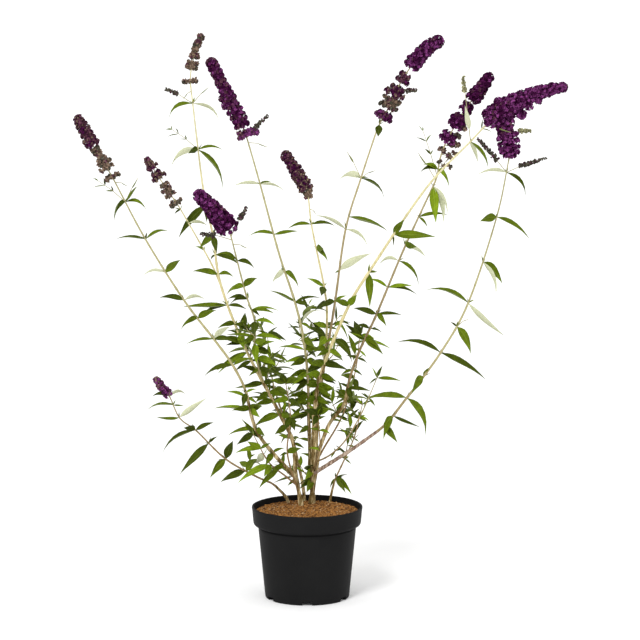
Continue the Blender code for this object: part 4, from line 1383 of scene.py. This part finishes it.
def addFloret(tint, hub, fan, dome, chance):
    spent = tint not in ("petalBright", "petalDeep", "petalDusk")
    size = (spikeSpec["husk"] if spent else spikeSpec["floret"]) * chance.uniform(0.8, 1.15)
    roll = stray(chance, 1, 1, 1)
    looseness = chance.uniform(-0.5, 2.0) if spent else chance.uniform(-0.9, 1.0)
    floretDeals[tint].add(hub + fan * (dome - size + looseness), fan, roll, (size, size, size))


def addWhorl(centre, way, radius, spin, kind, chance):
    # A ring of small cymes packed side by side, each a dome of florets.
    spent = kind == "spent"
    arms = max(4, round(2 * math.pi * radius / spikeSpec["cyme"]))
    for k in range(arms):
        if spent and chance.random() < spikeSpec["spentGaps"]:
            continue
        arm = armOf(way, spin + k * 2 * math.pi / arms + chance.gauss(0, 0.10))
        reach = radius * chance.uniform(0.72 if spent else 0.86, 1.08) - 0.9
        dome = min(reach * 0.55, spikeSpec["dome"])
        hub = centre + arm * (reach - dome) + way * chance.gauss(0, 0.8)
        for slope in spikeSpec["spentFans" if spent else "fans"]:
            fan = arm + way * (slope + chance.gauss(0, 0.16)) + way.cross(arm) * chance.gauss(0, 0.34)
            addFloret(pickTint(kind, chance), hub, fan.normalized(), dome, chance)


def addShadeCore(line, start, end, wide, narrow, kind):
    # The dense middle of a spike, hidden under its florets: its own dark buds and calyces, and also painted
    # shade that darkens the gaps between the cymes.
    total = pathLength(line)
    first, last = start * total - 3.0, end * total + 3.0
    count = max(3, round((last - first) / spikeSpec["coreStep"]))
    made = []
    for i in range(count + 1):
        share = i / count
        place, _ = pointOn(line, first + (last - first) * share)
        radius = (wide + (narrow - wide) * share) / 2 * spikeSpec["core"]
        made.append((place, radius * (0.45 if i in (0, count) else 1.0)))
    shadeCoreLines["petalSpent" if kind == "spent" else "petalDeep"].append(made)


def addSpike(line, bloom, chance):
    # Each stretch of bloom: from and to as shares of the line, its width at both ends, its kind.
    total = pathLength(line)
    spin = chance.uniform(0, 3)
    for start, end, wide, narrow, kind in bloom:
        if end > spikeSpec["tipFrom"]:
            end = 1.0 - narrow * 0.5 / total
        count = max(1, round((end - start) * total / spikeSpec["step"]))
        for i in range(count + 1 if end > start else 1):
            share = i / count
            centre, way = pointOn(line, total * (start + (end - start) * share))
            radius = (wide + (narrow - wide) * share) / 2 * chance.uniform(0.95, 1.06)
            spin += math.pi / 4 + 0.12
            addWhorl(centre, way, radius, spin, kind, chance)
        addShadeCore(line, start, end, wide, narrow, kind)
    _, _, _, narrow, kind = bloom[-1]
    centre, way = pointOn(line, total - narrow * 0.5)
    for _ in range(round(narrow)):
        fan = way * 1.1 + stray(chance, 0.6, 0.6, 0.6)
        addFloret(pickTint(kind, chance), centre, fan.normalized(), narrow * 0.5, chance)


def addLobe(line, lobe, chance):
    # A cyme that has grown out into a ball beside the spike: where, how far out, how big, its kind.
    share, across, rise, radius, kind = lobe
    middle, _ = pointOn(line, pathLength(line) * share)
    hub = middle + Vector((across, chance.uniform(-6, 0), rise))
    twigLines.append(list(zip((middle, hub), spikeSpec["lobeStalk"])))
    for _ in range(round(radius * radius * 0.5)):
        fan = stray(chance, 1, 1, 1).normalized()
        addFloret(pickTint(kind, chance), hub, fan, radius * chance.uniform(0.85, 1.05), chance)


def placeAt(line, height):
    # The point where a stem passes a height, and the way it runs there.
    for p, q in zip(line, line[1:]):
        if (p.z - height) * (q.z - height) <= 0 and p.z != q.z:
            return p.lerp(q, (height - p.z) / (q.z - p.z)), (q - p).normalized()
    return pointOn(line, 0.0 if height < line[0].z else pathLength(line))


stemSpec = {
    "step": 5.0, "swell": 0.2, "flowerGap": 44, "leafyGap": 30, "sides": 10, "relief": 0.25, "grain": 500.0,
    "leafyTip": 0.7, "flowerTip": 0.8, "twigSides": 6,
}
backShoots = {"below": 480, "aside": 120, "depth": 18, "share": 0.5, "length": (30, 58), "leaf": (32, 46)}


def addStem(cane, line, foot, tip, gap):
    # A stem that thins to its tip and swells a little at its nodes.
    made = []
    for place, distance, share in walked(line, stemSpec["step"]):
        radius = foot + (tip - foot) * share ** 1.2
        beat = math.cos(2 * math.pi * distance / gap)
        made.append((place, radius * (1 + stemSpec["swell"] * max(beat, 0.0) ** 10)))
    stemLines[cane].append(made)


def addBackShoot(tints, place, chance):
    heading = Vector((chance.uniform(-0.8, 0.8), chance.uniform(0.6, 1.2), chance.uniform(0.2, 0.8)))
    length, leafLength = chance.uniform(*backShoots["length"]), chance.uniform(*backShoots["leaf"])
    addShoot(tints, place, heading, length, leafLength, chance)


def dressByReading(tints, line, spec, chance):
    # The leaves as they were read at each node, small new ones, and shoots behind the plant.
    for height, leaves in spec["nodes"].items():
        place, way = placeAt(line, height)
        for leaf in leaves:
            addReadLeaf(tints, place, leaf, chance)
        addSprout(place, way, chance.uniform(0, 3), chance)
        behind = place.y > backShoots["depth"] and abs(place.x) < backShoots["aside"]
        if behind and height < backShoots["below"] and chance.random() < backShoots["share"]:
            addBackShoot(tints, place, chance)
    for height, side, rise, kind in spec.get("sprigs", []):
        addSprig(placeAt(line, height)[0], side, rise, kind, chance)


def growCane(cane, line, spec, tints, chance, lead=None):
    # One stem with all that it carries; lead is the way that its flower spike sets out.
    if "bloom" not in spec:
        addStem(cane, line, spec["radius"], stemSpec["leafyTip"], stemSpec["leafyGap"])
        dressByReading(tints, line, spec, chance)
        return
    flower = smoothPath([line[-1]] + vectors(spec["spike"]), pathSteps["spike"], lead)
    addSpike(flower, spec["bloom"], chance)
    for lobe in spec.get("lobes", []):
        addLobe(flower, lobe, chance)
    whole = line + flower[1:]
    addStem(cane, whole, spec["radius"], spec.get("tip", stemSpec["flowerTip"]), stemSpec["flowerGap"])
    dressByReading(tints, whole, spec, chance)


outerSprays = ("spray_arching_right", "spray_low_left", "spray_far_left")
for name, spec in sprays.items():
    chance = random.Random("%s %d" % (name, plantSeed))
    carrier = limbLines[spec["from"]]
    start, way = pointOn(carrier, pathLength(carrier) * spec.get("at", 1))
    if "at" in spec:
        way = None
    else:
        start = start + Vector((*spec.get("lean", (0, 0)), 0)) * 0.5 - way * 1.5
    line = smoothPath([start] + vectors(spec["path"]), pathSteps["cane"], way)
    tints = ["leafDeep", "leafMid", "leafMid"]
    if name not in outerSprays:
        tints += ["leafDeep", "leafBright"]
    growCane(spec["cane"], line, spec, tints, chance, (line[-1] - line[-2]).normalized())
    if "branch" in spec:
        branch = spec["branch"]
        start, _ = pointOn(line, pathLength(line) * branch["at"])
        side = smoothPath([start] + vectors(branch["path"]), pathSteps["cane"])
        growCane(spec["cane"], side, branch, tints, chance)

for name, nodes in limbLeaves.items():
    dressByReading(
        ["leafDeep", "leafMid", "leafMid", "leafBright"], limbLines[name], {"nodes": nodes},
        random.Random("%s %d" % (name, plantSeed)))

# Leaf, floret, husk and bud, each one unit long on +X.


def leafShape():
    # A thin blade folded along its rib and closed below; its lower faces are marked under.
    fold, belly = leafSpec["fold"], leafSpec["belly"]
    points, rows, faces, under = [], [], [], []
    for along, half in leafSpec["outline"]:
        row = len(points)
        if half == 0.0:
            points.append((along, 0.0, 0.0))
            rows.append((row,) * 4)
            continue
        rib = -fold * half * 2
        points += [(along, -half, 0.0), (along, 0.0, rib), (along, half, 0.0), (along, 0.0, rib - belly)]
        rows.append((row, row + 1, row + 2, row + 3))
    for a, b in zip(rows, rows[1:]):
        for corners, below in (
                ((a[0], b[0], b[1], a[1]), False), ((a[1], b[1], b[2], a[2]), False),
                ((a[0], a[3], b[3], b[0]), True), ((a[3], a[2], b[2], b[3]), True)):
            faces.append(list(dict.fromkeys(corners)))
            under.append(below)
    faces.append(rows[0])
    under.append(True)
    mesh = bpy.data.meshes.new("leafShape")
    mesh.from_pydata(points, [], faces)
    mesh.attributes.new("under", "BOOLEAN", "FACE").data.foreach_set("value", under)
    mesh.attributes.new("along", "FLOAT", "POINT").data.foreach_set("value", [p[0] for p in points])
    layer = mesh.uv_layers.new(name="UVMap")
    for loop in mesh.loops:
        x, y, _ = points[loop.vertex_index]
        layer.data[loop.index].uv = (x, y + 0.5)
    work = bmesh.new()
    work.from_mesh(mesh)
    bmesh.ops.recalc_face_normals(work, faces=work.faces)
    for edge in work.edges:
        edge.smooth = edge.calc_face_angle(0.0) <= math.radians(leafSpec["sharpFrom"])
    for face in work.faces:
        face.smooth = True
    work.to_mesh(mesh)
    work.free()
    return linked("leafShape", mesh)


def roundShape(name, stations, throat=None):
    # Rings about the X axis, each at its place with the radii of its points. The far end is closed
    # or drawn in to a throat.
    work = bmesh.new()
    rings = []
    for along, radii in stations:
        turns = [2 * math.pi * k / len(radii) for k in range(len(radii))]
        spots = [(along, r * math.cos(t), r * math.sin(t)) for r, t in zip(radii, turns)]
        rings.append([work.verts.new(spot) for spot in spots])
    joinRings(work, rings)
    work.faces.new(rings[0])
    if throat:
        joinRings(work, [rings[-1], [work.verts.new((throat, 0.0, 0.0))]])
    else:
        work.faces.new(rings[-1])
    return kept(work, name)


leaf = leafShape()
# A slim tube that opens into four round lobes.
lobe = 0.52
cleft = lobe * 0.62
floret = roundShape("floretShape", [(0.0, [0.10] * 8), (0.62, [0.17] * 8), (0.96, [lobe, cleft] * 4)], 0.82)
huskProfile = [(0.0, 0.08), (0.25, 0.20), (0.6, 0.30), (0.85, 0.20), (1.0, 0.04)]
budProfile = [(0.0, 0.15), (0.3, 0.5), (0.75, 0.55), (1.0, 0.2)]
husk = roundShape("huskShape", [(along, [radius] * 6) for along, radius in huskProfile])
bud = roundShape("budShape", [(along, [radius] * 6) for along, radius in budProfile])

foliageNodes = list(sprays)
undersides = {
    "leafDeep": "underDeep", "leafMid": "underMid", "leafBright": "underMid", "leafYoung": "underMid",
    "leafTurned": "underPale"}
for tint, deal in leafDeals.items():
    piece = deal.spread("leaves_" + tint, leaf, finishes[tint], finishes[undersides[tint]])
    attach(piece, "root")
    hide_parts(*foliageNodes)
    print(piece.name, len(deal.places), "leaves,", len(piece.data.polygons), "faces")
for tint, deal in floretDeals.items():
    shape = {"petalSpent": husk, "budDark": bud, "budPale": bud}.get(tint, floret)
    piece = deal.spread("florets_" + tint, shape, finishes[tint])
    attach(piece, "root")
    print(piece.name, len(deal.places), "shapes,", len(piece.data.polygons), "faces")
for shape in (leaf, floret, husk, bud):
    bpy.data.objects.remove(shape)
for tint, lines in shadeCoreLines.items():
    core = tubes(
        "spikeCores_" + tint, lines, spikeSpec["coreSides"], spikeSpec["coreRelief"],
        spikeSpec["coreGrain"], finishes[tint])
    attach(core, "root")
for cane, lines in stemLines.items():
    stems = tubes(
        "stems_" + cane, lines, stemSpec["sides"], stemSpec["relief"], stemSpec["grain"], finishes[cane])
    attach(stems, "root")
    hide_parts(*foliageNodes)
twigs = tubes(
    "sideTwigs", twigLines, stemSpec["twigSides"], 0.0, stemSpec["grain"], finishes["caneOlive"])
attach(twigs, "root")
print("sprays grown:", len(twigLines), "twigs")
